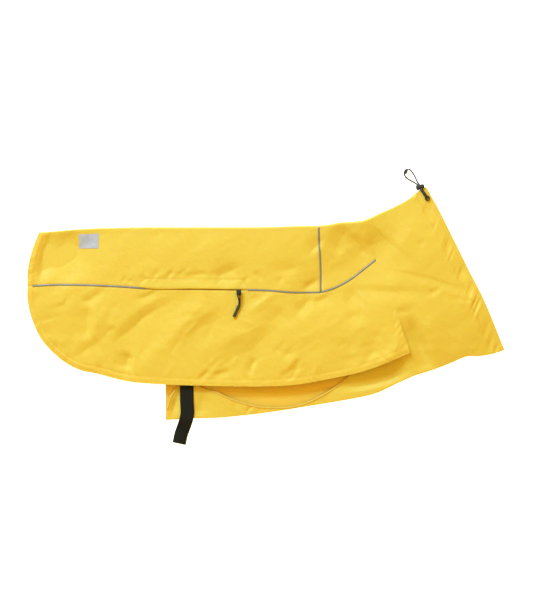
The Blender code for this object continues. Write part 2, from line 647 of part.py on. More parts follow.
def build_opening(welt_material, tape_material):
    """The welt lies on the back panel, open along its lower lip, over the tape of a concealed zip."""
    u = fractions(18)
    v = np.array([0, 0.4, 0.8, 1])
    top = path(WELT_TOP, u)
    lip = path(WELT_LIP, u)
    tail_end = path([WELT_TOP[0], WELT_LIP[0]], v)
    neck_end = path([WELT_TOP[-1], WELT_LIP[-1]], v)
    plan = patch(tail_end, neck_end, top, lip, u, v)
    base = near_top(plan[..., 0], plan[..., 1]) + LIE_GAP
    thick = np.interp(v, [0, 0.8, 1], [WELT_THICK, LIP_THICK, LIP_THICK])
    cloth("opening_welt", lifted(plan, base + thick), lifted(plan, base), welt_material)
    line = path(TAPE_LINE, fractions(12))
    trim("opening_zip", line, TAPE_WIDTH, TAPE_THICK, near_top, tape_material, crown=0.3)


def box(name, low, high, material, origin=(0.0, 0.0, 0.0)):
    (x0, y0, z0), (x1, y1, z1) = low, high
    rings = np.array([[(x, y0, z0), (x, y1, z0), (x, y1, z1), (x, y0, z1)] for x in (x0, x1)])
    return loft(name, rings, material, origin)


def bevel(node, width, segments):
    modifier = node.modifiers.new("Edges", "BEVEL")
    modifier.width = width * MM
    modifier.segments = segments
    modifier.limit_method = "ANGLE"


def unite(node, other):
    other.hide_render = True
    other.display_type = "WIRE"
    modifier = node.modifiers.new(other.name, "BOOLEAN")
    modifier.operation = "UNION"
    modifier.object = other


def slider_seat():
    """Height of the slider's underside: over the tape, or over the welt's lip beside it."""
    x, y = SLIDER_CENTRE
    across, along = np.meshgrid([-0.5, 0, 0.5], [-0.5, 0, 0.5])
    under = near_top(x + across * SLIDER_WIDTH, y + along * SLIDER_LENGTH)
    return under.max() + LIP_THICK + LIE_GAP + SEAM_GAP


def build_slider(material):
    x, y = SLIDER_CENTRE
    seat = slider_seat()
    floor = seat + SLIDER_HEIGHT
    low = (x - SLIDER_WIDTH / 2, y - SLIDER_LENGTH / 2, seat)
    high = (x + SLIDER_WIDTH / 2, y + SLIDER_LENGTH / 2, floor)
    body = box("zip_slider", low, high, material)
    bevel(body, 0.9, 3)
    half = BAIL_LENGTH / 2
    inner = half - BAIL_BAR
    under = BAIL_RISE - BAIL_BAR
    arch = [
        (-half, -0.5), (-half, BAIL_RISE - 0.8), (-half + 0.9, BAIL_RISE), (half - 0.9, BAIL_RISE),
        (half, BAIL_RISE - 0.8), (half, -0.5), (inner, -0.5), (inner, under - 0.3), (inner - 0.4, under),
        (-inner + 0.4, under), (-inner, under - 0.3), (-inner, -0.5),
    ]
    rings = np.array([[(x + side * BAIL_WIDTH / 2, y + a, floor + b) for a, b in arch] for side in (-1, 1)])
    bail = loft("slider_bail", rings, material)
    unite(body, bail)


def hinge_point():
    """Middle of the bail's opening near its lower end, which the pull swings about."""
    x, y = SLIDER_CENTRE
    drop = BAIL_LENGTH / 2 - BAIL_BAR - PULL_CORD / 2 - SEAM_GAP
    return np.array([x, y - drop, slider_seat() + SLIDER_HEIGHT + PULL_CORD / 2 + SEAM_GAP])


def tube(name, route, diameter, material, resolution=2):
    """A round cord along a smooth line through its route, with a point every two diameters."""
    count = int(length(route) / (2 * diameter)) + 2
    points = path(route, fractions(count))
    points[:, :2] -= CENTRE
    points = points * MM
    curve = bpy.data.curves.new(name, "CURVE")
    curve.dimensions = "3D"
    curve.bevel_depth = diameter / 2 * MM
    curve.bevel_resolution = resolution
    curve.use_fill_caps = True
    spline = curve.splines.new("POLY")
    spline.points.add(count - 1)
    spline.points.foreach_set("co", np.concatenate([points, np.ones((count, 1))], axis=1).ravel())
    spline.use_smooth = True
    curve.materials.append(material)
    node = bpy.data.objects.new(name, curve)
    bpy.context.scene.collection.objects.link(node)
    return node


def hose(name, points, diameter, material, origin, sides=8):
    """A round cord: rings across the line, each turned as little as it can be from the one before."""
    along = np.gradient(points, axis=0)
    along /= np.linalg.norm(along, axis=1)[:, None]
    side = np.cross([0, 0, 1.0], along[0])
    turn = np.linspace(0, 2 * np.pi, sides + 1)[:-1, None]
    rings = []
    for point, heading in zip(points, along):
        side = side - heading * (side @ heading)
        side = side / np.linalg.norm(side)
        up = np.cross(heading, side)
        rings.append(point + diameter / 2 * (np.cos(turn) * side + np.sin(turn) * up))
    return loft(name, np.array(rings), material, origin)


def grip_frame():
    """Top of the grip and its direction: it leans to the tail and lies just over the cloth."""
    lean = np.radians(GRIP_LEAN)
    return np.array(GRIP_TOP), np.array([-np.sin(lean), -np.cos(lean)])


def build_pull(cord_material, grip_material):
    """A loop of cord through the bail, both ends held in a moulded grip. It turns about the bail."""
    hinge = hinge_point()
    start, along = grip_frame()
    across = np.array([-along[1], along[0]])
    rows = np.array([0, 0.08, 0.2, 0.5, 0.8, 0.94, 1])
    girth = np.array([0.62, 0.9, 1, 0.86, 1, 0.86, 0.5])
    turn = np.linspace(0, 2 * np.pi, 13)[:-1]
    lowest = flap_top(*(start + along * GRIP_LENGTH / 2)) + GRIP_CLEAR
    rings = []
    for row, size in zip(rows, girth):
        spot = start + along * GRIP_LENGTH * row
        level = max(lowest, flap_top(*spot) + GRIP_CLEAR) + GRIP_THICK / 2
        wide = np.sign(np.cos(turn)) * np.abs(np.cos(turn)) ** 0.7 * size * GRIP_WIDTH / 2
        tall = np.sign(np.sin(turn)) * np.abs(np.sin(turn)) ** 0.7 * size * GRIP_THICK / 2
        rings.append(np.column_stack([spot + wide[:, None] * across, level + tall]))
    origin = np.array([*(hinge[:2] - CENTRE), hinge[2]])
    grip = loft("zip_pull", np.array(rings), grip_material, origin)
    inside = start + along * 3
    level = lowest + GRIP_THICK / 2
    route = []
    for side in (1, -1):
        leg = [
            (*(inside + across * side * 0.95), level),
            (*(start + across * side * 1.0 - along * 1.5), level + 0.2),
            (hinge[0] + side * 1.7, hinge[1] - 8.5, (level + hinge[2]) / 2 + 0.8),
            (hinge[0] + side * PULL_SPREAD, hinge[1] - 3.6, hinge[2]),
            (hinge[0] + side * PULL_SPREAD * 0.85, hinge[1] - 0.7, hinge[2]),
        ]
        route += leg + [(hinge[0], hinge[1], hinge[2])] if side == 1 else leg[::-1]
    loop = hose("pull_cord", path(route, fractions(44)), PULL_CORD, cord_material, origin)
    unite(grip, loop)


def build_eyelet(material):
    x, y = EYELET_CENTRE
    turn = np.linspace(0, 2 * np.pi, 25)[:-1]
    section = [
        (EYELET_INNER, 0.0), (EYELET_INNER, 0.7), (EYELET_INNER + 0.3, 1.0), (EYELET_OUTER - 0.4, 1.0),
        (EYELET_OUTER, 0.6), (EYELET_OUTER, 0.0),
    ]
    under = near_top(x + EYELET_OUTER * np.cos(turn), y + EYELET_OUTER * np.sin(turn))
    seat = under.max() + CASING_EXTRA + SEAM_GAP
    reach, rise = np.array(section).T
    plan = np.stack([x + np.outer(np.cos(turn), reach), y + np.outer(np.sin(turn), reach)], axis=-1)
    rings = lifted(plan, seat + EYELET_HEIGHT * rise)
    size = len(section)
    count = len(turn)
    faces = []
    for i in range(count):
        start = i * size
        after = (i + 1) % count * size
        for k in range(size):
            side = (k + 1) % size
            faces.append([start + k, start + side, after + side, after + k])
    add_mesh("eyelet", rings.reshape(-1, 3), faces, material)


def turned(name, centre, axis, profile, material, flatten=1.0, sides=16):
    """A body turned about a level axis: profile rows are (distance along the axis, radius)."""
    along = np.array([*axis, 0.0]) / np.hypot(*axis)
    up = np.array([0, 0, 1.0])
    across = np.cross(up, along)
    turn = np.linspace(0, 2 * np.pi, sides + 1)[:-1, None]
    rings = [
        np.array(centre) + along * reach + radius * (np.cos(turn) * across + flatten * np.sin(turn) * up)
        for reach, radius in profile
    ]
    return loft(name, np.array(rings), material)


def build_cord(cord_material, lock_material):
    """The drawcord leaves the eyelet as two strands, passes the lock and closes in a loop at its end bead."""
    heading = np.array(CORD_HEADING) / np.hypot(*CORD_HEADING)
    beside = np.array([heading[1], -heading[0]])
    for name, side in (("drawcord_stem_a", 1), ("drawcord_stem_b", -1)):
        route = [(*(np.array(point[:2]) + beside * side * CORD_SPREAD), point[2]) for point in STEM_ROUTE]
        tube(name, route, CORD_DIAMETER, cord_material)
    tube("drawcord_loop_a", RIGHT_ROUTE, CORD_DIAMETER, cord_material)
    tube("drawcord_loop_b", LEFT_ROUTE, CORD_DIAMETER, cord_material)
    half = LOCK_LENGTH / 2
    deep = LOCK_DEPTH / 2
    profile = [
        (-half, deep * 0.5), (-half + 0.8, deep * 0.9), (-half + 2.4, deep), (-0.9, deep * 0.96),
        (-0.3, deep * 0.78), (0.6, deep * 0.78), (1.2, deep * 0.93), (half - 1.8, deep * 0.9),
        (half - 0.6, deep * 0.75), (half, deep * 0.4),
    ]
    turned("cord_lock", LOCK_CENTRE, LOCK_AXIS, profile, lock_material, LOCK_HEIGHT / LOCK_DEPTH)
    half = END_LENGTH / 2
    fat = END_DIAMETER / 2
    profile = [(-half, fat * 0.7), (-half + 0.7, fat), (half - 0.7, fat), (half, fat * 0.7)]
    turned("cord_end", END_CENTRE, END_AXIS, profile, lock_material)


def clear():
    for item in list(bpy.data.objects):
        bpy.data.objects.remove(item, do_unlink=True)


def main():
    clear()
    yellow = finish("yellow_nylon", (0.90, 0.62, 0.07), 0.45)
    reflective = finish("reflective_piping", (0.30, 0.28, 0.25), 0.5)
    silver = finish("reflective_silver", (0.55, 0.55, 0.55), 0.35)
    binding = finish("beige_binding", (0.62, 0.50, 0.26), 0.7)
    webbing = finish("black_webbing", (0.02, 0.018, 0.015), 0.8)
    plastic = finish("black_plastic", (0.015, 0.015, 0.016), 0.4)
    elastic = finish("dark_elastic", (0.04, 0.04, 0.04), 0.75)
    build_back(yellow)
    build_yoke(yellow)
    build_sides(yellow, yellow)
    build_neck(yellow)
    build_chest(yellow)
    build_pipings(reflective)
    build_binding(binding)
    build_strap(webbing)
    build_patch(silver)
    build_opening(yellow, webbing)
    build_slider(plastic)
    build_pull(elastic, plastic)
    build_eyelet(plastic)
    build_cord(elastic, plastic)


main()
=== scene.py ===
"""Dog raincoat of coated nylon, folded along its spine and laid flat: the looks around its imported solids.

X runs from the tail to the neck, Y from the belly to the spine and Z up out of the surface it lies on.
Outlines and folds are in millimetres of the plan and become metres of the frame where a mesh is made.
"""

import json

import bpy
import numpy as np
from bpy.props import FloatProperty, FloatVectorProperty, PointerProperty
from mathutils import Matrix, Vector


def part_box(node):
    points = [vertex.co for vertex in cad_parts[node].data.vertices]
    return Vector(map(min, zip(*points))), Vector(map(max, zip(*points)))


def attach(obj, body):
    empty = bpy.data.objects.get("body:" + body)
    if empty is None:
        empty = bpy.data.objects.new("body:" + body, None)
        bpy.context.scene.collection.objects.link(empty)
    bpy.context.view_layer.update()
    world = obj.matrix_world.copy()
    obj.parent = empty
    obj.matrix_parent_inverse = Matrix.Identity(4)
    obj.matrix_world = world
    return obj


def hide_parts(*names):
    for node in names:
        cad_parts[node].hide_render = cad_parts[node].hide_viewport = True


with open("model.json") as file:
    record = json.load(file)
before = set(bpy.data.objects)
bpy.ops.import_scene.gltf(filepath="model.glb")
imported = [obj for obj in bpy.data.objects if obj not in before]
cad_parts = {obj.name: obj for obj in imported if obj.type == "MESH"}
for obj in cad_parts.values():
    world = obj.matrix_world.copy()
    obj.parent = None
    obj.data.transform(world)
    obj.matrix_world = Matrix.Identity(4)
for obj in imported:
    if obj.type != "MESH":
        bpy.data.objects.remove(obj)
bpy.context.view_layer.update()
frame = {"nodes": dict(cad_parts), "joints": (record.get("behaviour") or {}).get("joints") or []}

bl_info = {
    "name": "Dog raincoat",
    "version": (1, 0, 0),
    "blender": (4, 5, 0),
    "location": "3D View > Sidebar > Raincoat",
    "description": "Cloth, trims, zip and drawcord of a raincoat laid flat",
    "category": "Object",
}

MM = 0.001
CENTRE = np.array([-0.62, 0.23])  # the plan's millimetres at the frame's origin
COAT = "coat"
PULL = "zip_pull"

# ---------------------------------------------------------------------------------------------
# Outline: points (x, y) that smooth lines pass through.

SPINE = [(-336.5, 124), (-310, 126), (-282, 128.5), (-217, 131), (-100, 131.5), (5, 132), (49.5, 133.5), (77, 134)]
YOKE_TOP = [(77, 134), (95, 136), (107, 138.5), (124, 139.5), (142, 141.5), (154.5, 146)]
NAPE = [(154.5, 146), (166.5, 151.8), (186, 160.5), (214.5, 176.5), (223.5, 184), (236.5, 191.5)]
MOUTH = [(236.5, 191.5), (253.5, 160.5), (275.2, 117), (299.3, 68), (320.4, 26.5), (338, -15), (352.5, -50.5)]
THROAT = [(220, -88), (243, -81), (274, -69.2), (297, -60), (315, -59.5), (335.5, -56), (352.5, -50.5)]
BELLY_FOLD = [
    (-149.5, -154), (-107.5, -151.7), (-70.5, -150.7), (-37.5, -147.6), (-9.5, -144.4), (42, -136.8),
    (80.5, -130.5), (124.5, -123), (162, -114.5), (196.5, -98.5), (220, -88),
]
TAIL_UPPER = [(-336.5, 124), (-346, 98.5), (-350.5, 81.5), (-353, 66.5), (-353.5, 44)]
TAIL_LOWER = [(-353.5, 44), (-353.5, 23.5), (-350.5, 6.5), (-344, -13.5), (-333.5, -34.5), (-319.5, -51)]
HEM = [
    (-319.5, -51), (-302.8, -65.5), (-288.5, -74.5), (-274, -80.5), (-254.5, -84.5), (-205, -96.5),
    (-149.5, -101), (-88.5, -103), (-9.5, -104), (42, -101.5), (93.5, -92.5), (132, -84.5), (171, -71.5), (212, -54),
]
LONG_SEAM = [
    (-353.5, 44), (-308, 46), (-264, 45.5), (-203, 42.5), (-177.5, 40.5), (-100, 39.5), (-27.5, 38.5),
    (5, 37.5), (34, 35), (80, 35),
]
SHOULDER_SEAM = [(80, 35), (98.5, 40.5), (114, 48), (127, 56), (140, 66), (161.5, 83)]
WITHERS_SEAM = [(77, 134), (78, 104), (79.5, 80), (80, 35)]
NECK_SEAM = [(154.5, 146), (160.5, 120), (161.5, 83)]
FRONT_SEAM = [(161.5, 83), (175.5, 46), (196, 3)]
FLAP_FRONT = [(196, 3), (196.5, -6), (201, -21), (207, -38), (212, -54)]
FAR_FLAP_FRONT = [(196, 3), (184, -8), (175, -25), (173, -48), (177, -69)]
FAR_HEM = HEM[:-2] + [FAR_FLAP_FRONT[-1]]
CHEST_SEAM = [(196, 3), (195.5, -9), (197, -19), (198, -29.5), (202, -44.5), (211, -66.5), (220, -88)]
CHEST_SEAM_LOW = CHEST_SEAM[2:]
BELLY_EDGE = [
    (-148.5, -143.5), (-145.5, -129.5), (-141.5, -117), (-134, -107), (-123.5, -98.5), (-110.5, -98), (-96, -105.5),
    (-73.5, -112.5), (-52, -122.5), (-31, -129), (-9.5, -134), (11.5, -135), (33, -134.5), (53, -130),
    (86, -114.5), (126.5, -84), (146, -63.5), (168, -38.5), (185.5, -24), (197, -19),
]
FAR_BELLY_EDGE = [(-149.5, -92), (-60, -92), (60, -91), (100, -82), (140, -58), (175, -28), (197, -19)]

# Height of the near half's outside over the surface, as pins (x, y, height) under a thin plate.
DRAPE_PINS = [
    (-336, 122, 6.6), (-282, 127, 7.2), (-200, 131, 8.6), (-100, 131, 9.2), (0, 132, 9.4), (77, 134, 10.4),
    (100, 137, 11.8), (116, 138, 12.2), (142, 141, 12.2), (154, 145, 10.6), (190, 161, 6.6), (223, 182, 4.0),
    (236, 191, 3.2), (84, 112, 10.6), (100, 115, 11.0), (140, 118, 11.0), (88, 90, 9.0), (-345, 90, 9.6),
    (-305, 88, 7.6), (-230, 88, 10.2), (-150, 92, 10.6), (-70, 92, 10.6), (20, 88, 10.8), (70, 90, 10.0),
    (-345, 60, 9.4), (-275, 55, 8.6), (-195, 48, 9.6), (-100, 48, 9.4), (-25, 48, 9.6), (50, 44, 9.2),
    (116, 95, 8.6), (152, 96, 6.5), (92, 58, 6.8), (120, 68, 5.8), (146, 80, 5.3), (178, 100, 8.6),
    (-348, 9, 6.0), (-290, 6, 9.2), (-215, 9, 10.6), (-128, 2, 10.2), (-40, 2, 11.2), (50, 2, 11.6),
    (124, 14, 11.6), (175, 34, 11.2), (-313, -43, 4.6), (-245, -50, 8.6), (-157, -58, 9.8), (-68, -65, 11.0),
    (20, -62, 12.6), (110, -42, 13.6), (183, -28, 13.0), (-283, -76, 4.8), (-232, -90, 6.4),
    (-149, -100, 9.8), (-88, -103, 10.4), (-9, -104, 10.2), (42, -101, 10.8), (94, -92, 11.4),
    (132, -84, 12.6), (171, -71, 13.4), (211, -54, 10.6), (202, 112, 10.4), (227, 134, 8.6), (257, 98, 10.4),
    (242, 38, 11.8), (301, 24, 10.6), (257, -21, 10.9), (316, -21, 9.2), (286, -50, 8.2), (235, -58, 8.8),
    (253, 160, 4.8), (275, 117, 5.4), (299, 68, 6.2), (320, 27, 6.6), (338, -15, 6.0), (352, -50, 3.8),
    (335, -55, 4.6), (297, -59, 5.6), (274, -67, 5.8), (243, -80, 5.4), (220, -88, 5.6),
]
BELLY_PINS = [
    (-148, -150, 6.4), (-100, -151, 3.8), (-40, -147, 4.8), (20, -139, 5.0), (80, -129, 5.2),
    (125, -122, 5.6), (162, -114, 6.0), (196, -98, 5.8), (220, -88, 5.6), (211, -66, 6.8), (202, -44, 6.8),
    (199, -30, 6.8), (201, -19, 7.6), (185, -22, 7.6), (146, -63, 5.6), (112, -95, 4.6), (188, -62, 5.4),
    (160, -88, 3.8), (188, -80, 4.2), (53, -130, 5.4), (-10, -134, 5.2), (-73, -112, 4.2), (-120, -98, 4.4),
]

# Creases: (points of the line, width to the left of its direction, width to the right, height).
# A negative height is a trough, a positive one a ridge. A narrow side is steep, a wide one gentle.
CREASES = [
    # the flap, from its tail end forwards
    ([(-315, 12), (-298, 17), (-292, 30)], 4, 9, -1.1),
    ([(-268, -42), (-266, -10), (-264, 20)], 34, 9, -3.4),
    ([(-278, 20), (-262, 23), (-247, 33), (-238, 37)], 9, 10, -2.2),
    ([(-276, -56), (-262, -46), (-246, -38), (-238, -36)], 10, 18, -2.0),
    ([(-246, -38), (-236, -26), (-226, -11)], 17, 12, -2.2),
    ([(-208, -82), (-206, -66), (-202, -53)], 19, 9, -4.0),
    ([(-252, -73), (-240, -86)], 6, 4, -1.3),
    ([(-238, -45), (-220, -36), (-200, -20), (-182, -3), (-158, 12), (-133, 23)], 13, 44, -3.6),
    ([(-194, 25), (-178, 28), (-165, 35), (-157, 38)], 5, 10, -1.7),
    ([(-202, -80), (-181, -76), (-165, -64), (-142, -53)], 30, 34, 1.5),
    ([(-150, -40), (-132, -24), (-113, -1), (-96, 16), (-88, 36)], 22, 20, 2.8),
    ([(-118, -28), (-100, -18), (-84, -12), (-70, -4), (-50, 6)], 15, 30, -1.8),
    ([(-64, -43), (-48, -30), (-30, -25), (-15, -17), (2, -7), (23, 4)], 14, 26, 1.6),
    ([(-71, -79), (-56, -67), (-42, -58), (-22, -50), (-8, -36), (6, -24), (24, -7)], 26, 46, -3.6),
    ([(-22, 10), (-12, 17), (0, 25), (12, 35)], 5, 10, 1.5),
    ([(-31, 8), (-28, 25), (-27, 42)], 9, 12, -1.2),
    ([(-10, -12), (6, -6), (20, 2), (28, 14)], 14, 26, -2.2),
    ([(-27, -89), (-22, -75), (-16, -60)], 11, 5, -2.4),
    ([(-101, -94), (-90, -86), (-82, -81)], 4, 5, -1.4),
    ([(-92, -91), (-78, -81), (-66, -74)], 4, 7, 1.0),
    ([(-81, -88), (-62, -84), (-51, -80)], 5, 7, -1.5),
    ([(20, -92), (30, -84), (38, -80)], 5, 6, -1.3),
    ([(40, -87), (45, -72), (47, -61)], 8, 5, -1.5),
    ([(28, -96), (44, -84)], 4, 4, -1.0),
    ([(28, -78), (40, -66), (53, -55)], 11, 6, 1.7),
    ([(18, -61), (40, -55), (58, -46), (79, -37)], 14, 20, -1.3),
    ([(40, -2), (50, 8), (60, 20), (69, 34)], 20, 13, -3.4),
    ([(66, 22), (76, 21), (88, 26), (97, 33)], 6, 13, -2.0),
    ([(127, -78), (124, -52), (121, -26)], 28, 14, -2.3),
    ([(161, -63), (156, -48), (151, -34)], 22, 12, -2.4),
    ([(150, -34), (160, -31), (171, -25)], 8, 10, -1.2),
    ([(112, 20), (122, 23), (134, 37)], 14, 30, -2.6),
    ([(118, 36), (150, 38), (190, 36), (236, 35)], 8, 15, -2.0),
    ([(110, -6), (128, -1), (150, 2)], 9, 11, -1.2),
    ([(160, -71), (176, -64), (187, -56), (192, -43), (193, -18)], 12, 20, 2.6),
    ([(-322, -30), (-305, -38), (-290, -34)], 8, 8, 0.8),
    ([(64, -94), (72, -80), (76, -66)], 7, 9, 1.1),
    # the saddle
    ([(-337, 62), (-318, 77), (-296, 92), (-262, 110)], 34, 45, -7.2),
    ([(-338, 46), (-334, 60), (-331, 73), (-327, 88), (-324, 104), (-322, 123)], 10, 12, -4.4),
    ([(-98, 116), (-84, 102), (-72, 86), (-64, 77)], 32, 30, 1.4),
    ([(-79, 51), (-67, 61), (-53, 67), (-38, 72)], 12, 16, -3.2),
    ([(-129, 57), (-108, 60), (-96, 62), (-82, 62)], 5, 7, -1.5),
    ([(-148, 56), (-142, 62), (-138, 67)], 4, 5, -1.3),
    ([(-168, 56), (-163, 62), (-160, 67)], 4, 4, -1.1),
    ([(-133, 59), (-124, 64), (-119, 69)], 4, 5, -0.8),
    ([(-215, 48), (-206, 57)], 4, 5, -1.0),
    ([(-205, 47), (-198, 55)], 3, 5, -0.8),
    ([(-38, 43), (-30, 54), (-24, 61)], 4, 6, -1.5),
    ([(-20, 65), (-13, 60), (-6, 53)], 6, 5, -1.3),
    ([(46, 37), (59, 41), (71, 48), (81, 58)], 13, 12, -2.2),
    ([(56, 41), (76, 55)], 4, 5, -1.1),
    ([(16, 47), (24, 59)], 5, 5, -0.8),
    ([(5, 66), (30, 68), (52, 75)], 15, 9, -1.6),
    ([(62, 92), (74, 104), (84, 117)], 16, 6, -3.0),
    # the yoke and the nape
    ([(96, 90), (104, 102), (112, 116), (121, 131)], 22, 40, -4.2),
    ([(120, 121), (132, 111), (140, 101), (145, 90), (146, 82)], 12, 10, -1.8),
    ([(108, 86), (118, 96), (128, 103)], 9, 9, 1.0),
    ([(146, 101), (165, 107), (176, 113), (182, 120)], 26, 60, -4.2),
    # the neck
    ([(184, 75), (192, 92), (200, 106), (210, 124), (223, 148)], 15, 27, 1.2),
    ([(178, 67), (210, 62), (240, 55), (270, 45), (305, 35)], 4, 8, -1.0),
    ([(238, 33), (248, 36), (257, 43)], 4, 6, -1.3),
    ([(262, 30), (285, 25), (311, 20)], 3, 6, -0.7),
    ([(188, 4), (198, 7), (210, 6)], 5, 6, -1.1),
    ([(222, 104), (228, 107), (233, 111)], 4, 5, -0.8),
    ([(243, -74), (235, -58), (227, -44), (221, -29), (215, -10), (211, 6)], 16, 12, -5.6),
    ([(250, -57), (242, -34), (232, -14), (222, 5)], 18, 40, 2.4),
    ([(270, -56), (272, -30), (262, -4)], 20, 26, -1.6),
    ([(198, -50), (225, -52), (262, -48)], 10, 34, 2.0),
]
BELLY_CREASES = [
    ([(-31, -145), (-27, -139), (-21, -132)], 3, 5, -0.9),
    ([(-26, -145), (-20, -138), (-13, -131)], 3, 5, 0.6),
    ([(-45, -141), (-58, -125), (-80, -109)], 7, 8, 0.8),
    ([(-147, -147), (-142, -130), (-137, -112)], 6, 5, 1.3),
    ([(-140, -146), (-134, -126), (-128, -106)], 9, 14, -3.2),
    ([(-100, -150), (-97, -132), (-93, -114)], 10, 18, -2.2),
    ([(60, -131), (74, -118), (96, -104)], 8, 8, 0.7),
    ([(101, -106), (120, -105), (140, -104), (160, -100), (180, -94), (200, -85.5), (210, -80), (218, -70)],
     13, 7, -2.4),
    ([(112, -119), (140, -110), (176, -104), (204, -90)], 5, 10, 0.8),
]
CREASE_ROUNDING = 1.0
FAR_SHIFT = np.array([17.0, -11.0])  # the far half's creases lie a little off the near half's

# ---------------------------------------------------------------------------------------------
# Sizes of what is sewn on, of gathers and of the stage, in millimetres where nothing else is said.

HEM_WIDTH = 8.5
HEM_EXTRA = 0.4
FOLD_SHARPNESS = 0.45  # how far a fold reaches sideways, against its half height
CASING_WIDTH = 19.0
CASING_WALL = 1.1
FLAP_CORNER = (212.0, -54.0)
FLAP_LIFT = 0.8
FLAP_LIFT_REACH = 60
CHEST_DIP = 3.4
FAR_STACK = 1.3
FAR_INSET = 1.5
WELT_TOP = [(-181, 54.5), (-110, 54), (-33.5, 53)]
WELT_LIP = [(-190, 43.6), (-178, 41.6), (-110, 40.9), (-28, 39.9)]
TAPE_LINE = [(-176, 40.1), (-100, 39.1), (-44, 38.3)]
STRAP_LINE = [(-118, -92), (-118, -120), (-118, -150), (-121, -160), (-126.5, -175), (-129.5, -189)]
STRAP_DROP = [(-151.5, 5.1), (-154, 4.8), (-157, 3.7), (-161, 2.1), (-165, 0.9), (-170, 0.1), (-174, 0.0)]
STRAP_WIDTH = 20.0
STRAP_TURNED = 21.0  # length of the end that is folded back
PATCH_CORNERS = ((-277.5, 126.0), (-248.0, 100.0))
SLIDER = (-40.8, 34.8)
GRIP_TOP = (-40.6, 15.5)
EYELET = (238.0, 174.0)

# The drawcord's middle line in metres of the frame: two strands from the eyelet through the lock, one loop.
STEM = [
    (0.23882, 0.17347, 0.0061), (0.23872, 0.17367, 0.0073), (0.23792, 0.17477, 0.0082), (0.23642, 0.17697, 0.0081),
    (0.23402, 0.18037, 0.0074), (0.23182, 0.18367, 0.0064), (0.23012, 0.18687, 0.0051),
]
LOOP_RIGHT = [
    (0.22622, 0.19497, 0.0033), (0.22462, 0.19767, 0.0023), (0.22322, 0.20027, 0.0016), (0.22062, 0.20627, 0.00115),
    (0.21762, 0.21127, 0.00115), (0.21442, 0.21537, 0.0013), (0.21152, 0.21717, 0.0019), (0.20892, 0.21707, 0.0026),
]
LOOP_LEFT = [
    (0.22372, 0.19437, 0.0033), (0.22172, 0.19617, 0.0023), (0.21712, 0.19897, 0.0014), (0.21162, 0.20197, 0.00115),
    (0.20782, 0.20467, 0.0013), (0.20552, 0.20737, 0.0019), (0.20482, 0.20987, 0.0026),
]
STEM_HEADING = np.array([-0.578, 0.816])
STRAND_SPREAD = 0.0012
CORD_DIAMETER = 0.0021
CORD_SIDES = 10

# The zip pull's grip and its loop of cord, in metres of the frame.
GRIP_LENGTH = 0.0185
GRIP_WIDTH = 0.0048
GRIP_THICK = 0.0034
GRIP_LEAN = 24.0  # degrees that it leans off the Y axis
GRIP_SIDES = 20
PULL_CORD_RADIUS = 0.00085

# Distances between points, and the lengths and spans of panels, which set how many rows of points they get.
LINE_SAMPLES = 40  # for each of a line's points
LINE_STEP = 8
FAR_STEP = 3.4
FOLD_STEPS = 7
BACK_SPAN = 95
YOKE_SPAN = 98
NECK_SPAN = 260
NECK_LENGTH = 150
MOUTH_SPAN = 265
CHEST_LENGTH = 375
FAR_BELLY_SPAN = 75

# Gathers at the sewn lines: (reach, pitch, height, seed of the random draws, slant).
WELT_GATHERS = (9, 8, 0.26, 21, 0.8)
PIPED_GATHERS = [(7, 9, 0.28, seed, 0.6) for seed in (30, 31, 32)]
HEM_GATHERS = (11, 4.6, 0.5, 41, 0.6)
MOUTH_GATHERS = [(60, 5.6, 1.25, 51, -0.9), (60, 12, 0.9, 52, -0.7)]
BELLY_GATHERS = (8, 6, 0.35, 61, 0.5)
WELT_SINK = (0.6, 2.0)  # depth and width of the valley at a seam
PIPED_SINK = (0.7, 1.3)
HEM_SINK = (0.3, 1.6)
CASING_SINK = (0.5, 1.8)

# How the heights are put together.
LATTICE = (97, 89)  # random values of the noise, in both directions
STREAKS = (0.79, 0.61)  # direction of the longest fine wrinkles
STREAK_STRETCH = 3.2
FOLD_EASE = 7.0  # how far in from a fold its own height is felt
SEAM_EASE = 16
LEAST_TOP = 2.6
BACK_RISE = 1.8  # how far the far half's creases may stand up, in the back, the neck and the side
NECK_RISE = 1.6
SIDE_RISE = 0.5
FAR_OVERLAP = 17  # how far the far flap reaches under the belly, and over how much it ends
FAR_FADE = 7

# The stage, in metres.
FLOOR_HALF = 8.0
FLOOR_DROP = 0.0004
FILL_COLOUR = (1.0, 0.74, 0.16, 1.0)
KEY_COLOUR = (0.52, 1.0, 1.3)
KEY_SIZE = 1.0
KEY_PLACE = (-1.6, 3.2, 2.15)
CAMERA_PLACE = (0.0006, 0.0131)
CLOTH_LEVEL = 0.004  # mean height of the cloth, where the camera frames its height
SENSOR_WIDTH = 36.0


# ---------------------------------------------------------------------------------------------
# Settings that a user would change.


class ClothSettings(bpy.types.PropertyGroup):
    """Sizes and colour of the coated nylon."""

    wall: FloatProperty(
        name="Cloth thickness", description="Thickness of one layer, in millimetres", default=0.55, min=0.2,
        max=1.0,
    )
    step: FloatProperty(
        name="Grid step", description="Distance between the cloth's points, in millimetres", default=1.7, min=1.2,
        max=6.0,
    )
    creasing: FloatProperty(
        name="Creasing", description="Height of the creases against the one measured", default=1.0, min=0.0,
        max=1.5, subtype="FACTOR",
    )
    wrinkles: FloatProperty(
        name="Fine wrinkles", description="Height of the fine crumple, in millimetres", default=0.16, min=0.0, max=1.0
    )
    colour: FloatVectorProperty(
        name="Yellow", description="Colour of the coated side", default=(0.70, 0.465, 0.054), subtype="COLOR",
        size=3, min=0.0, max=1.0,
    )


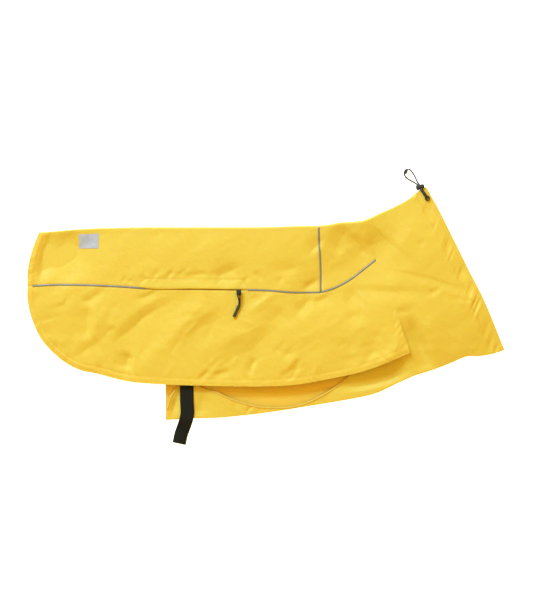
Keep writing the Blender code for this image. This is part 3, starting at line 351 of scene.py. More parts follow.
class TrimSettings(bpy.types.PropertyGroup):
    """Sizes and colours of stitches, piping and tapes."""

    piping_width: FloatProperty(
        name="Piping width", description="Width of the grey piping, in millimetres", default=2.4, min=1.0, max=4.0
    )
    piping_height: FloatProperty(
        name="Piping height", description="Height of the piping over the cloth, in millimetres", default=1.2,
        min=0.4, max=3.0,
    )
    stitch_length: FloatProperty(
        name="Stitch length", description="Length of one stitch, in millimetres", default=2.3, min=1.0, max=5.0
    )
    stitch_gap: FloatProperty(
        name="Stitch gap", description="Gap between stitches, in millimetres", default=1.0, min=0.3, max=3.0
    )
    piping_colour: FloatVectorProperty(
        name="Piping", description="Colour of the reflective piping", default=(0.20, 0.19, 0.235), subtype="COLOR",
        size=3, min=0.0, max=1.0,
    )
    binding_colour: FloatVectorProperty(
        name="Binding", description="Colour of the leg opening's tape", default=(0.72, 0.47, 0.09), subtype="COLOR",
        size=3, min=0.0, max=1.0,
    )
    webbing_colour: FloatVectorProperty(
        name="Webbing", description="Colour of the belly strap", default=(0.007, 0.006, 0.006), subtype="COLOR",
        size=3, min=0.0, max=1.0,
    )


class StageSettings(bpy.types.PropertyGroup):
    """Camera, floor and light."""

    lens: FloatProperty(name="Lens", description="Focal length of the camera, in millimetres", default=85.0, min=20.0)
    framed_height: FloatProperty(
        name="Framed height", description="Height that the camera frames on the coat", default=0.9087, min=0.2,
        unit="LENGTH", subtype="DISTANCE",
    )
    key_power: FloatProperty(
        name="Key light", description="Power of the soft key light, in watts", default=203.0, min=0.0
    )
    fill: FloatProperty(name="Fill light", description="Strength of the light from all round", default=1.04, min=0.0)


# ---------------------------------------------------------------------------------------------
# Lines and surfaces in the plan.


def path(points, at, start=0.0, end=0.0):
    """Points at given fractions of the smooth line through the points, less a length at each end.

    Between two points a and b that are h apart, with the slopes p and q there and s from 0 to 1, it is the cubic
    (1 + 2s)(1 - s)^2 a + s(1 - s)^2 h p + s^2(3 - 2s) b + s^2(s - 1) h q.
    """
    knots = np.array(points, float)
    reach = reaches(knots)
    if len(knots) > 2:
        slope = np.gradient(knots, reach, axis=0)
    else:
        slope = np.diff(knots, axis=0).repeat(2, axis=0) / reach[-1]
    fine = np.linspace(0, reach[-1], LINE_SAMPLES * len(knots))
    i = np.clip(np.searchsorted(reach, fine, side="right") - 1, 0, len(knots) - 2)
    span = (reach[i + 1] - reach[i])[:, None]
    s = (fine - reach[i])[:, None] / span
    line = (
        (1 + 2 * s) * (1 - s) ** 2 * knots[i]
        + s * (1 - s) ** 2 * span * slope[i]
        + s * s * (3 - 2 * s) * knots[i + 1]
        + s * s * (s - 1) * span * slope[i + 1]
    )
    return spaced(line, at, start, end)


def spaced(line, at, start=0.0, end=0.0):
    """Points at fractions of a polyline's length, less a length at each end."""
    reach = reaches(line)
    wanted = start + np.asarray(at) * (reach[-1] - start - end)
    return np.stack([np.interp(wanted, reach, column) for column in line.T], axis=1)


def reaches(line):
    """Length of a polyline up to each of its points."""
    return np.concatenate([[0], np.cumsum(np.linalg.norm(np.diff(line, axis=0), axis=1))])


def length(points):
    """Length of the smooth line through the points."""
    return reaches(path(points, np.linspace(0, 1, 80)))[-1]


def edge(pieces, step):
    """Several smooth lines end to end, each in equal steps of about the given length: points, and their fractions."""
    rows = []
    for points in pieces:
        count = max(2, int(round(length(points) / step)))
        rows.append(path(points, np.linspace(0, 1, count + 1))[:-1])
    line = np.concatenate(rows + [np.array(pieces[-1][-1:], float)])
    reach = reaches(line)
    return line, reach / reach[-1]


def outward(line, side):
    """Unit normals of a plan line, to its left (side 1) or right (side -1)."""
    along = np.gradient(line, axis=0)
    along /= np.linalg.norm(along, axis=1)[:, None]
    return side * np.stack([-along[:, 1], along[:, 0]], axis=1)


def patch(left, right, top, bottom, u, v):
    """Coons patch: the blend of the side lines, plus the blend of top and bottom, less the blend of the corners."""
    u = np.asarray(u)[:, None, None]
    v = np.asarray(v)[None, :, None]
    left = np.concatenate([top[:1], left[1:-1], bottom[:1]])
    right = np.concatenate([top[-1:], right[1:-1], bottom[-1:]])
    sides = (1 - u) * left[None] + u * right[None]
    ends = (1 - v) * top[:, None] + v * bottom[:, None]
    corners = (
        (1 - u) * (1 - v) * top[0] + u * (1 - v) * top[-1] + (1 - u) * v * bottom[0] + u * v * bottom[-1]
    )
    return sides + ends - corners


def ramp(x):
    """0 below 0, 1 above 1, smooth between."""
    x = np.clip(x, 0, 1)
    return x * x * (3 - 2 * x)


def bell(distance, width):
    """1 at no distance, dying away over about the width: exp(-(distance / width)^2)."""
    return np.exp(-((distance / width) ** 2))


def circle(sides):
    """Angles of the points round a circle, in radians."""
    return np.linspace(0, 2 * np.pi, sides + 1)[:-1]


def plate(pins):
    """Height as a function of x and y: the thin plate that passes through the pins."""
    pins = np.array(pins, float)
    spots = pins[:, :2] / 100

    def bend(a, b):
        far = np.sum((a[:, None] - b[None]) ** 2, axis=2)
        return far * np.log(far + 1e-9)

    size = len(pins)
    system = np.zeros((size + 3, size + 3))
    system[:size, :size] = bend(spots, spots)
    system[:size, size] = system[size, :size] = 1
    system[:size, size + 1:] = spots
    system[size + 1:, :size] = spots.T
    weights = np.linalg.solve(system, np.concatenate([pins[:, 2], np.zeros(3)]))

    def height(x, y):
        at = np.stack([np.ravel(x), np.ravel(y)], axis=1) / 100
        z = bend(at, spots) @ weights[:size] + weights[size] + at @ weights[size + 1:]
        return z.reshape(np.shape(x))

    return height


def nearest(line, x, y):
    """For each point: distance to a polyline, length along it at the nearest spot, the side it is on (1 for the left,
    -1 for the right, between them past an end), and the line's whole length."""
    best = np.full(x.shape, np.inf)
    reach = np.zeros(x.shape)
    side = np.ones(x.shape)
    start = 0.0
    last = len(line) - 2
    for number, ((x0, y0), (x1, y1)) in enumerate(zip(line[:-1], line[1:])):
        dx, dy = x1 - x0, y1 - y0
        size = np.hypot(dx, dy)
        t = np.clip(((x - x0) * dx + (y - y0) * dy) / size**2, 0, 1)
        away = np.hypot(x - x0 - t * dx, y - y0 - t * dy)
        closer = away < best
        best = np.where(closer, away, best)
        reach = np.where(closer, start + t * size, reach)
        beside = (dx * (y - y0) - dy * (x - x0)) / (size * (away + 1e-6))
        past = ((number == 0) & (t == 0)) | ((number == last) & (t == 1))
        side = np.where(closer, np.where(past, beside, np.sign(beside)), side)
        start += size
    return best, reach, side, start


def crease_field(x, y, creases):
    """Sum of the creases. Each is a bent strip: its height falls off in a straight line over a width of its own on
    either side, with rounded bends, and fades towards both ends."""
    z = np.zeros(x.shape)
    for points, left, right, height in creases:
        line = np.array(points, float)
        margin = 4 * max(left, right)
        low = line.min(axis=0) - margin
        high = line.max(axis=0) + margin
        near = (x > low[0]) & (x < high[0]) & (y > low[1]) & (y < high[1])
        if not near.any():
            continue
        away, reach, side, total = nearest(line, x[near], y[near])
        width = right + (left - right) * (1 + side) / 2
        slack = 1 - (np.sqrt(away**2 + CREASE_ROUNDING**2) - CREASE_ROUNDING) / width
        shape = (slack + np.sqrt(slack**2 + 0.06)) / 2 - 0.015 / (1 + np.maximum(-slack, 0))
        fade = 0.25 + 0.75 * ramp(np.minimum(reach, total - reach) / (0.35 * total))
        z[near] += height * fade * shape * (1 - ramp((away - 2.5 * width) / width))
    return z


def lattice_noise(x, y, size, seed):
    """Smooth noise between -1 and 1: random values on a square lattice of the given size, eased between."""
    values = np.random.default_rng(seed).uniform(-1, 1, LATTICE)
    i = np.floor(x / size).astype(int)
    j = np.floor(y / size).astype(int)
    a = ramp(x / size - i)
    b = ramp(y / size - j)

    def row(p):
        before = values[(i + p) % LATTICE[0], j % LATTICE[1]]
        after = values[(i + p) % LATTICE[0], (j + 1) % LATTICE[1]]
        return (1 - b) * before + b * after

    return (1 - a) * row(0) + a * row(1)


def puckers(x, y, line, reach, pitch, height, seed, slant=0.0):
    """Gathers across a stitched line: uneven ridges along it, random heights eased between, that die away from it.

    The height at a point is the ridge's own height times the strength there times bell(distance, reach).
    """
    away, along, _, total = nearest(line, x, y)
    random = np.random.default_rng(seed)
    along = along + slant * away

    def eased(size):
        amounts = random.uniform(-1, 1, int(total / size) + 40)
        place = np.clip(along / size + 12, 0, len(amounts) - 2)
        i = place.astype(int)
        return amounts[i] + (amounts[i + 1] - amounts[i]) * ramp(place - i)

    strength = 0.45 + np.maximum(eased(5 * pitch) + 0.2, 0)
    along = along + 0.8 * pitch * eased(2.7 * pitch)
    return height * strength * eased(pitch) * bell(away, reach * (1 + 0.35 * eased(2 * pitch)))


def small_creases(seed, count, low, high, heading, spread, size, height):
    """Short straight creases at random places in a box, most of them along one heading (degrees)."""
    random = np.random.default_rng(seed)
    rows = []
    for place in random.uniform(low, high, (count, 2)):
        angle = np.radians(heading + spread * random.normal())
        half = size * random.uniform(0.5, 1.5) / 2 * np.array([np.cos(angle), np.sin(angle)])
        rise = height * random.uniform(0.3, 1.0) * random.choice([-1.0, -1.0, 1.0])
        widths = random.uniform(3.0, 9.0, 2)
        rows.append(([tuple(place - half), tuple(place + half)], widths[0], widths[1], rise))
    return rows


drape = plate(DRAPE_PINS)
belly_drape = plate(BELLY_PINS)

HEM_LINE = edge([TAIL_UPPER, TAIL_LOWER, HEM, FLAP_FRONT[::-1]], LINE_STEP)[0]
MOUTH_LINE = edge([MOUTH], LINE_STEP)[0]
BELLY_LINE = edge([BELLY_EDGE], LINE_STEP)[0]
WELT_LINE = edge([WELT_TOP], LINE_STEP)[0]
PIPED_LINES = [edge([seam], LINE_STEP)[0] for seam in (LONG_SEAM, SHOULDER_SEAM, WITHERS_SEAM)]
QUIET = [  # places (x, y, radius) where the cloth is held smooth by what lies on it
    (*SLIDER, 12), (*GRIP_TOP, 12), (-45, 3, 10), (-262, 113, 16), (*EYELET, 8),
]
SMALL_CREASES = (
    small_creases(3, 60, (-340, -90), (190, 30), 38, 22, 28, 0.8)
    + small_creases(5, 16, (-330, 45), (75, 125), 30, 35, 30, 0.35)
    + small_creases(7, 12, (85, 60), (160, 135), 60, 40, 24, 0.5)
    + small_creases(11, 22, (170, -70), (320, 150), -18, 30, 30, 0.4)
    + small_creases(13, 16, (-200, 54), (0, 66), 50, 30, 12, 0.5)
    + small_creases(17, 20, (240, -50), (330, 140), 60, 30, 18, 0.5)
)


def settings():
    """The cloth's settings in the open scene."""
    return bpy.context.scene.raincoat_cloth


def near_top(x, y):
    """Outside of the near half: the drape, the creases, gathers at the sewn lines and a fine crumple."""
    cloth = settings()
    quiet = np.ones(x.shape)
    for cx, cy, radius in QUIET:
        quiet = quiet * (1 - bell(np.hypot(x - cx, y - cy), radius))
    fine = crease_field(x, y, SMALL_CREASES)
    fine = fine + cloth.wrinkles * (lattice_noise(x, y, 17, 2) + 0.6 * lattice_noise(x + y, y - 0.4 * x, 8, 4))
    along = STREAKS[0] * x + STREAKS[1] * y
    across = STREAKS[0] * y - STREAKS[1] * x
    fine = fine + 1.6 * cloth.wrinkles * lattice_noise(along / STREAK_STRETCH, across, 15, 8)
    fine = fine + puckers(x, y, WELT_LINE, *WELT_GATHERS)
    z = drape(x, y) + cloth.creasing * crease_field(x, y, CREASES) + quiet * fine
    z = z - WELT_SINK[0] * bell(nearest(WELT_LINE, x, y)[0], WELT_SINK[1])
    for line, gathers in zip(PIPED_LINES, PIPED_GATHERS):
        z = z - PIPED_SINK[0] * bell(nearest(line, x, y)[0], PIPED_SINK[1])
        z = z + quiet * puckers(x, y, line, *gathers)
    corner = bell(np.hypot(x - FLAP_CORNER[0], y - FLAP_CORNER[1]), FLAP_LIFT_REACH)
    return np.maximum(z + FLAP_LIFT * corner, LEAST_TOP)


def hemmed(x, y):
    """What a turned hem adds along the free edge: a raised band, a valley at its stitches and gathers across it."""
    away = nearest(HEM_LINE, x, y)[0]
    band = HEM_EXTRA * ramp((HEM_WIDTH - away) / 2.6 + 0.5)
    rolled = -1.2 * ramp((-200 - x) / 60) * np.clip(1 - away / 8, 0, 1) ** 1.5  # the tail's edge bends down
    valley = -HEM_SINK[0] * bell(away - HEM_WIDTH - 0.6, HEM_SINK[1])
    gathers = puckers(x, y, HEM_LINE, *HEM_GATHERS) * ramp(away / 3 + 0.35)
    return band + rolled + valley + gathers


def hemmed_top(x, y):
    """Outside of the near half where its free edge is hemmed."""
    return near_top(x, y) + hemmed(x, y)


def chest_top(x, y):
    """The near half in front of the flap, which dips beside the flap's free edge."""
    front = np.array(FLAP_FRONT)[::-1]
    front = np.interp(y, front[:, 1], front[:, 0])
    beside = 1 - ramp((x - front - 14) / 40)
    down = ramp((3 - y) / 45) * (1 - ramp((-68 - y) / 26))
    return near_top(x, y) - CHEST_DIP * beside * down


def far_rise(x, y, limit):
    """Underside of the far half: its creases stand up from the surface, by no more than a limit."""
    rise = np.abs(crease_field(x - FAR_SHIFT[0], y - FAR_SHIFT[1], CREASES))
    rise = 0.45 * rise + 0.5 * np.abs(crease_field(x, y, SMALL_CREASES))
    return rise * limit / (rise + limit)


def far_belly(x, y):
    """Underside of the far belly half: on the surface, or on the far flap where that reaches under it."""
    hem = np.array(HEM)
    front = np.array(FAR_FLAP_FRONT)[::-1]
    over = ramp((y - np.interp(x, hem[:, 0], hem[:, 1]) + FAR_OVERLAP) / FAR_FADE)
    behind = ramp((np.interp(y, front[:, 1], front[:, 0]) + FAR_OVERLAP - x) / FAR_FADE)
    ripple = 0.35 + 0.35 * lattice_noise(x + 0.7 * y, y, 15, 6)
    return FAR_STACK * over * behind + ripple * over


# ---------------------------------------------------------------------------------------------
# Meshes.


def add_mesh(name, points, faces, material, uv=None, body=COAT):
    """A piece from points in metres of the frame. Smooth faces, an optional map, one material, riding on a body."""
    mesh = bpy.data.meshes.new(name)
    mesh.from_pydata(points.tolist(), [], faces)
    mesh.validate()
    mesh.shade_smooth()
    if uv is not None:
        layer = mesh.uv_layers.new(name="cloth")
        corner = np.zeros(len(mesh.loops), int)
        mesh.loops.foreach_get("vertex_index", corner)
        layer.data.foreach_set("uv", uv[corner].astype(np.float32).ravel())
    mesh.materials.append(material)
    piece = bpy.data.objects.new(name, mesh)
    bpy.context.scene.collection.objects.link(piece)
    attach(piece, body)
    return piece


def in_frame(points):
    """Plan millimetres as metres of the frame."""
    points = np.array(points, float)
    points[..., :2] -= CENTRE
    return points * MM


def lifted(grid, height):
    """Plan points with a height, as points in space."""
    return np.concatenate([grid, np.broadcast_to(height, grid.shape[:2])[..., None]], axis=2)


def mapped(u, v, shape):
    """Coordinates of a map for a grid of points, from what changes along it and across it."""
    return np.stack([np.broadcast_to(u, shape), np.broadcast_to(v, shape)], axis=-1).reshape(-1, 2)


def shell(name, grid, material, wrap=False, up=1, wall=None):
    """A closed wall under a grid of points: the inner skin is the outer one moved back along its normals.

    The normals are the cross product of the grid's two directions, turned so that the first column faces up (up=1)
    or down (up=-1), and stay the shading normals, so that panels which meet at a seam shade as one cloth.
    """
    wall = settings().wall if wall is None else wall
    ring = np.concatenate([grid[:, -1:], grid, grid[:, :1]], axis=1) if wrap else grid
    along = np.gradient(ring, axis=0, edge_order=2)
    across = np.gradient(ring, axis=1, edge_order=2)
    normals = np.cross(along, across)
    normals = normals[:, 1:-1] if wrap else normals
    normals /= np.linalg.norm(normals, axis=2)[..., None]
    turn = int(up * np.sign(normals[:, 0, 2].mean()))
    normals *= turn
    nu, nv = grid.shape[:2]
    size = nu * nv
    index = np.arange(size).reshape(nu, nv)
    if wrap:
        index = np.concatenate([index, index[:, :1]], axis=1)
    skin = np.stack([index[:-1, :-1], index[1:, :-1], index[1:, 1:], index[:-1, 1:]], axis=-1).reshape(-1, 4)
    rims = [index[0], index[-1][::-1]] + ([] if wrap else [index[::-1, 0], index[:, -1]])
    rims = [np.stack([line[:-1], line[1:], line[1:] + size, line[:-1] + size], axis=-1) for line in rims]
    faces = np.concatenate([skin, skin[:, ::-1] + size] + rims)[:, ::turn]
    points = np.concatenate([grid.reshape(-1, 3), (grid - normals * wall).reshape(-1, 3)])
    uv = mapped(reaches(grid[:, nv // 3])[:, None], reaches(grid[nu // 2])[None], (nu, nv)) * MM
    piece = add_mesh(name, in_frame(points), faces.tolist(), material, np.concatenate([uv, uv]))
    flat = normals.reshape(-1, 3)
    piece.data.normals_split_custom_set_from_vertices(np.concatenate([flat, -flat]).tolist())
    return piece


def outside_out(piece):
    """Turns a closed mesh right side out if its volume is negative."""
    mesh = piece.data
    mesh.calc_loop_triangles()
    points = np.zeros(len(mesh.vertices) * 3)
    mesh.vertices.foreach_get("co", points)
    corners = np.zeros(len(mesh.loop_triangles) * 3, int)
    mesh.loop_triangles.foreach_get("vertices", corners)
    a, b, c = points.reshape(-1, 3)[corners].reshape(-1, 3, 3).transpose(1, 0, 2)
    if np.sum(a * np.cross(b, c)) < 0:
        mesh.flip_normals()


def lofted(name, rings, material, uv=None, body=COAT):
    """One piece of closed solids through rings of points, an array (solid, ring, point, xyz), capped at both ends."""
    index = np.arange(rings[..., 0].size).reshape(rings.shape[:3])
    after = np.roll(index, -1, axis=2)
    quads = np.stack([index[:, :-1], after[:, :-1], after[:, 1:], index[:, 1:]], axis=-1).reshape(-1, 4)
    caps = np.concatenate([index[:, 0, ::-1], index[:, -1]])
    piece = add_mesh(name, rings.reshape(-1, 3), quads.tolist() + caps.tolist(), material, uv, body)
    outside_out(piece)
    return piece


def braided(name, line, radius, body=COAT):
    """A round cord along a line in space. Its map runs once round it (0 to 1) and along it (metres)."""
    along = np.gradient(line, axis=0)
    along /= np.linalg.norm(along, axis=1)[:, None]
    side = np.cross(along, [0, 0, 1.0])
    side /= np.linalg.norm(side, axis=1)[:, None] + 1e-12
    up = np.cross(side, along)
    turn = circle(CORD_SIDES)[:, None]
    rings = line[:, None] + radius * (np.cos(turn) * side[:, None] + np.sin(turn) * up[:, None])
    uv = mapped(np.arange(CORD_SIDES)[None] / CORD_SIDES, reaches(line)[:, None], rings.shape[:2])
    return lofted(name, rings[None], finish("dark_elastic"), uv, body)


def fold_rows(line, normals, radius):
    """Rows round a folded edge, from the top of the near half (first) to the far half (last): half an oval."""
    turn = np.linspace(np.pi / 2, -np.pi / 2, FOLD_STEPS + 1)[None, :, None]
    reach = FOLD_SHARPNESS * radius[:, None]
    centre = (line - normals * reach)[:, None]
    r = radius[:, None, None]
    return np.concatenate([centre + normals[:, None] * reach[..., None] * np.cos(turn), r + r * np.sin(turn)], axis=2)


def fold_radius(line, normals, height):
    """Half the cloth's height a little inside a folded edge."""
    inside = line - normals * 4
    return height(inside[:, 0], inside[:, 1]) / 2


def ease_to_fold(grid, height, radius):
    """Heights that meet the top of the fold at the grid's first column, and are their own further in."""
    depth = np.linalg.norm(grid - grid[:, :1], axis=2)
    return height + (2 * radius - height[:, 0])[:, None] * bell(depth, FOLD_EASE)


def folded_panel(name, left, right, ridge, seam, u, rows, top):
    """A panel over both halves: up the near half from its seam, round the fold, back down the far half."""
    v, w = rows
    normals = outward(ridge, 1)
    radius = fold_radius(ridge, normals, drape)
    reach = FOLD_SHARPNESS * radius
    crest = ridge - normals * reach[:, None]
    near = patch(path(left, v, reach[0]), path(right, v, reach[-1]), crest, seam, u, v)
    height = ease_to_fold(near, top(near[..., 0], near[..., 1]), radius)
    far = patch(path(left, w, reach[0]), path(right, w, reach[-1]), crest, seam, u, w)
    low = far_rise(far[..., 0], far[..., 1], BACK_RISE)
    low = low * (1 - bell(np.linalg.norm(far - far[:, :1], axis=2), FOLD_EASE))
    up = lifted(near[:, ::-1], height[:, ::-1])[:, :-1]
    grid = np.concatenate([up, fold_rows(ridge, normals, radius), lifted(far, low)[:, 1:]], axis=1)
    return shell(name, grid, finish("yellow_nylon"))


def fractions(size, step):
    """0 to 1 in equal steps of about the given length."""
    return np.linspace(0, 1, max(3, int(round(size / step)) + 1))


# ---------------------------------------------------------------------------------------------
# Materials.


class Value:
    """A number that varies over a surface. Arithmetic on it adds Math nodes."""

    def __init__(self, finish, socket):
        self.finish = finish
        self.socket = socket

    def math(self, operation, *others):
        """The Math node of that operation on this value and the others."""
        return self.finish.add("ShaderNodeMath", {"operation": operation}, [self, *others])

    def __add__(self, other):
        return self.math("ADD", other)

    def __sub__(self, other):
        return self.math("SUBTRACT", other)

    def __mul__(self, other):
        return self.math("MULTIPLY", other)

    def __truediv__(self, other):
        return self.math("DIVIDE", other)

    def __rsub__(self, other):
        return self.finish.add("ShaderNodeMath", {"operation": "SUBTRACT"}, [other, self])

    def __rtruediv__(self, other):
        return self.finish.add("ShaderNodeMath", {"operation": "DIVIDE"}, [other, self])

    __radd__ = __add__
    __rmul__ = __mul__

    def sine(self):
        return self.math("SINE")

    def clamped(self):
        """Held between 0 and 1."""
        return self.math("MAXIMUM", 0.0).math("MINIMUM", 1.0)


class Finish:
    """A material with one Principled shader, and a short way to add the nodes that feed it."""

    def __init__(self, name, colour, roughness, **constants):
        self.material = bpy.data.materials.new(name)
        self.material.use_nodes = True
        self.tree = self.material.node_tree
        self.shader = self.tree.nodes["Principled BSDF"]
        self.set("Base Color", (*colour, 1.0))
        self.set("Roughness", roughness)
        for socket, value in constants.items():
            self.set(socket.replace("_", " "), value)

    def set(self, socket, value):
        """Gives one of the shader's sockets a value or a link."""
        if isinstance(value, Value):
            self.tree.links.new(value.socket, self.shader.inputs[socket])
        else:
            self.shader.inputs[socket].default_value = value

    def add(self, kind, options=None, inputs=(), output=0):
        """A node: its type, its settings, then the values or links of its sockets by name or by number."""
        node = self.tree.nodes.new(kind)
        for name, value in (options or {}).items():
            setattr(node, name, value)
        pairs = inputs.items() if isinstance(inputs, dict) else enumerate(inputs)
        for key, value in pairs:
            if isinstance(value, Value):
                self.tree.links.new(value.socket, node.inputs[key])
            else:
                node.inputs[key].default_value = value
        return Value(self, node.outputs[output])

    def place(self):
        """Position on the piece, in metres."""
        return self.add("ShaderNodeTexCoord", output="Object")

    def map(self):
        """Position on the piece's own map, in metres or turns."""
        return self.add("ShaderNodeUVMap", {"uv_map": "cloth"})

    def axes(self, vector):
        """The first two parts of a vector, as values."""
        node = self.add("ShaderNodeSeparateXYZ", inputs=[vector]).socket.node
        return [Value(self, node.outputs[k]) for k in range(2)]

    def noise(self, vector, size, detail=2.0, roughness=0.5):
        """Noise between 0 and 1 whose lumps are about size metres across."""
        return self.add(
            "ShaderNodeTexNoise", {}, {"Vector": vector, "Scale": 1 / size, "Detail": detail, "Roughness": roughness}
        )

    def mix(self, factor, low, high):
        """Colour between two colours: low where the factor is 0, high where it is 1."""
        return self.add("ShaderNodeMix", {"data_type": "RGBA"}, {0: factor, 6: low, 7: high}, 2)

    def bump(self, height, distance, strength=1.0):
        """Feeds the shader's normal with a height in units of distance metres."""
        inputs = {"Height": height, "Distance": distance, "Strength": strength}
        self.set("Normal", self.add("ShaderNodeBump", {}, inputs))


def shaded(colour, share):
    """A colour times a share, opaque."""
    return (*(c * share for c in colour), 1.0)


def nylon_finish():
    """Coated nylon: a fine plain weave under a soft coating, faintly crumpled, with slow changes of tone."""
    colour = settings().colour
    cloth = Finish(
        "yellow_nylon", colour, 0.66, Specular_IOR_Level=0.5, Subsurface_Weight=0.3,
        Subsurface_Radius=(1.0, 0.45, 0.05), Subsurface_Scale=0.0012,
    )
    place = cloth.place()
    tone = cloth.noise(place, 0.06, 3.0)
    cloth.set("Base Color", cloth.mix(tone, shaded(colour, 0.965), (*colour, 1.0)))
    cloth.set("Roughness", 0.60 + 0.12 * cloth.noise(place, 0.02, 2.0))
    x, y = cloth.axes(cloth.map())
    thread = 2 * np.pi / 0.0006
    weave = (x * thread).sine() * (y * thread).sine()
    crumple = cloth.noise(place, 0.011, 3.0, 0.55)
    cloth.bump(crumple + 0.02 * weave, 0.0010, 0.55)
    return cloth.material


def thread_finish():
    """Sewing thread, a little more orange than the cloth, its tone changing along it."""
    thread = Finish("yellow_thread", (0.93, 0.52, 0.05), 0.6)
    tone = thread.noise(thread.place(), 0.002, 1.0)
    thread.set("Base Color", thread.mix(tone, (0.86, 0.44, 0.035, 1), (0.96, 0.58, 0.07, 1)))
    return thread.material


def piping_finish():
    """Reflective film over a filler cord: grey with a faint glitter of beads."""
    colour = bpy.context.scene.raincoat_trim.piping_colour
    film = Finish("reflective_piping", colour, 0.42, Metallic=0.25)
    beads = film.noise(film.place(), 0.0011, 2.0, 0.7)
    film.set("Base Color", film.mix(beads, shaded(colour, 0.72), shaded(colour, 1.3)))
    film.bump(beads, 0.0002, 0.5)
    return film.material


def silver_finish():
    """Silver reflective film, slightly cloudy, with a fine grain of beads."""
    film = Finish("reflective_silver", (0.42, 0.42, 0.56), 0.45, Metallic=0.2)
    place = film.place()
    film.set("Base Color", film.mix(film.noise(place, 0.009, 2.0), (0.30, 0.30, 0.43, 1), (0.50, 0.50, 0.68, 1)))
    film.bump(film.noise(place, 0.0007, 1.0), 0.0001, 0.6)
    return film.material


def tape_finish(name, colour, pitch):
    """Woven tape: ribs across it, pitch metres apart, and threads along it, from its own map."""
    tape = Finish(name, colour, 0.75, Specular_IOR_Level=0.2)
    x, y = tape.axes(tape.map())
    ribs = (x * (2 * np.pi / pitch)).sine()
    threads = (y * (2 * np.pi / (1.6 * pitch))).sine()
    weave = 0.5 + 0.3 * ribs * threads + 0.2 * ribs
    fray = tape.noise(tape.place(), 0.003, 2.0)
    worn = (weave * 0.7 + fray * 0.3).clamped()
    tape.set("Base Color", tape.mix(worn, shaded(colour, 0.6), shaded(colour, 1.35)))
    tape.bump(weave, 0.00035, 0.8)
    return tape.material


def plastic_finish(name, colour):
    """Moulded plastic, finely grained, worn a little lighter in patches."""
    plastic = Finish(name, colour, 0.38, Specular_IOR_Level=0.12)
    place = plastic.place()
    wear = plastic.noise(place, 0.004, 3.0)
    plastic.set("Base Color", plastic.mix(wear, (*colour, 1.0), shaded(colour, 2.6)))
    plastic.set("Roughness", 0.30 + 0.25 * wear)
    plastic.bump(plastic.noise(place, 0.0005, 1.0), 0.00006, 0.5)
    return plastic.material


def elastic_finish():
    """Braided cover: two families of strands that wind round the cord, from its own map."""
    cord = Finish("dark_elastic", (0.02, 0.019, 0.018), 0.7, Specular_IOR_Level=0.25)
    x, y = cord.axes(cord.map())
    pitch = 0.0028
    left = ((x * 4.0 + y / pitch) * (2 * np.pi)).sine()
    right = ((x * 4.0 - y / pitch) * (2 * np.pi)).sine()
    braid = 0.5 + 0.25 * left + 0.25 * right
    cord.set("Base Color", cord.mix(braid.clamped(), (0.008, 0.008, 0.007, 1), (0.038, 0.036, 0.034, 1)))
    cord.bump(braid, 0.0002, 0.8)
    return cord.material


def paper_finish():
    """Smooth white paper of the stage."""
    paper = Finish("stage_paper", (0.97, 0.97, 0.97), 0.9, Emission_Color=(1, 1, 1, 1), Emission_Strength=0.95)
    tone = paper.noise(paper.place(), 0.3, 1.0)
    paper.set("Base Color", paper.mix(tone, (0.96, 0.96, 0.96, 1), (0.98, 0.98, 0.98, 1)))
    return paper.material


def finish(name):
    """The shared material of that name, made the first time it is asked for."""
    trim = bpy.context.scene.raincoat_trim
    makers = {
        "yellow_nylon": (nylon_finish,),
        "yellow_thread": (thread_finish,),
        "reflective_piping": (piping_finish,),
        "reflective_silver": (silver_finish,),
        "beige_binding": (tape_finish, name, trim.binding_colour, 0.0006),
        "black_webbing": (tape_finish, name, trim.webbing_colour, 0.0016),
        "zip_tape": (tape_finish, name, (0.42, 0.24, 0.02), 0.0008),
        "black_plastic": (plastic_finish, name, (0.012, 0.012, 0.013)),
        "grey_plastic": (plastic_finish, name, (0.028, 0.025, 0.020)),
        "dark_elastic": (elastic_finish,),
        "stage_paper": (paper_finish,),
    }
    maker, *details = makers[name]
    return bpy.data.materials.get(name) or maker(*details)


# ---------------------------------------------------------------------------------------------
# Pieces.


def make_stage():
    """A white floor, one large soft light from the upper left, even fill, and the camera straight above."""
    scene = bpy.context.scene
    stage = scene.raincoat_stage
    scene.view_settings.view_transform = "Standard"
    mesh = bpy.data.meshes.new("floor")
    corners = [(x * FLOOR_HALF, y * FLOOR_HALF, -FLOOR_DROP) for x, y in ((-1, -1), (1, -1), (1, 1), (-1, 1))]
    mesh.from_pydata(corners, [], [(0, 1, 2, 3)])
    mesh.materials.append(finish("stage_paper"))
    floor = bpy.data.objects.new("floor", mesh)
    scene.collection.objects.link(floor)

    world = bpy.data.worlds.new("soft_studio")
    world.use_nodes = True
    background = world.node_tree.nodes["Background"]
    background.inputs["Color"].default_value = FILL_COLOUR
    background.inputs["Strength"].default_value = stage.fill
    scene.world = world

    key = bpy.data.lights.new("key", "AREA")
    key.shape = "RECTANGLE"
    key.size = key.size_y = KEY_SIZE
    key.energy = stage.key_power
    key.color = KEY_COLOUR
    lamp = bpy.data.objects.new("key", key)
    lamp.location = KEY_PLACE
    lamp.rotation_mode = "QUATERNION"
    lamp.rotation_quaternion = (-lamp.location).to_track_quat("-Z", "Y")  # shines at the origin
    scene.collection.objects.link(lamp)

    lens = bpy.data.cameras.new("camera")
    lens.lens = stage.lens
    lens.sensor_width = SENSOR_WIDTH
    camera = bpy.data.objects.new("camera", lens)
    camera.location = (*CAMERA_PLACE, CLOTH_LEVEL + stage.framed_height * stage.lens / SENSOR_WIDTH)
    scene.collection.objects.link(camera)
    scene.camera = camera


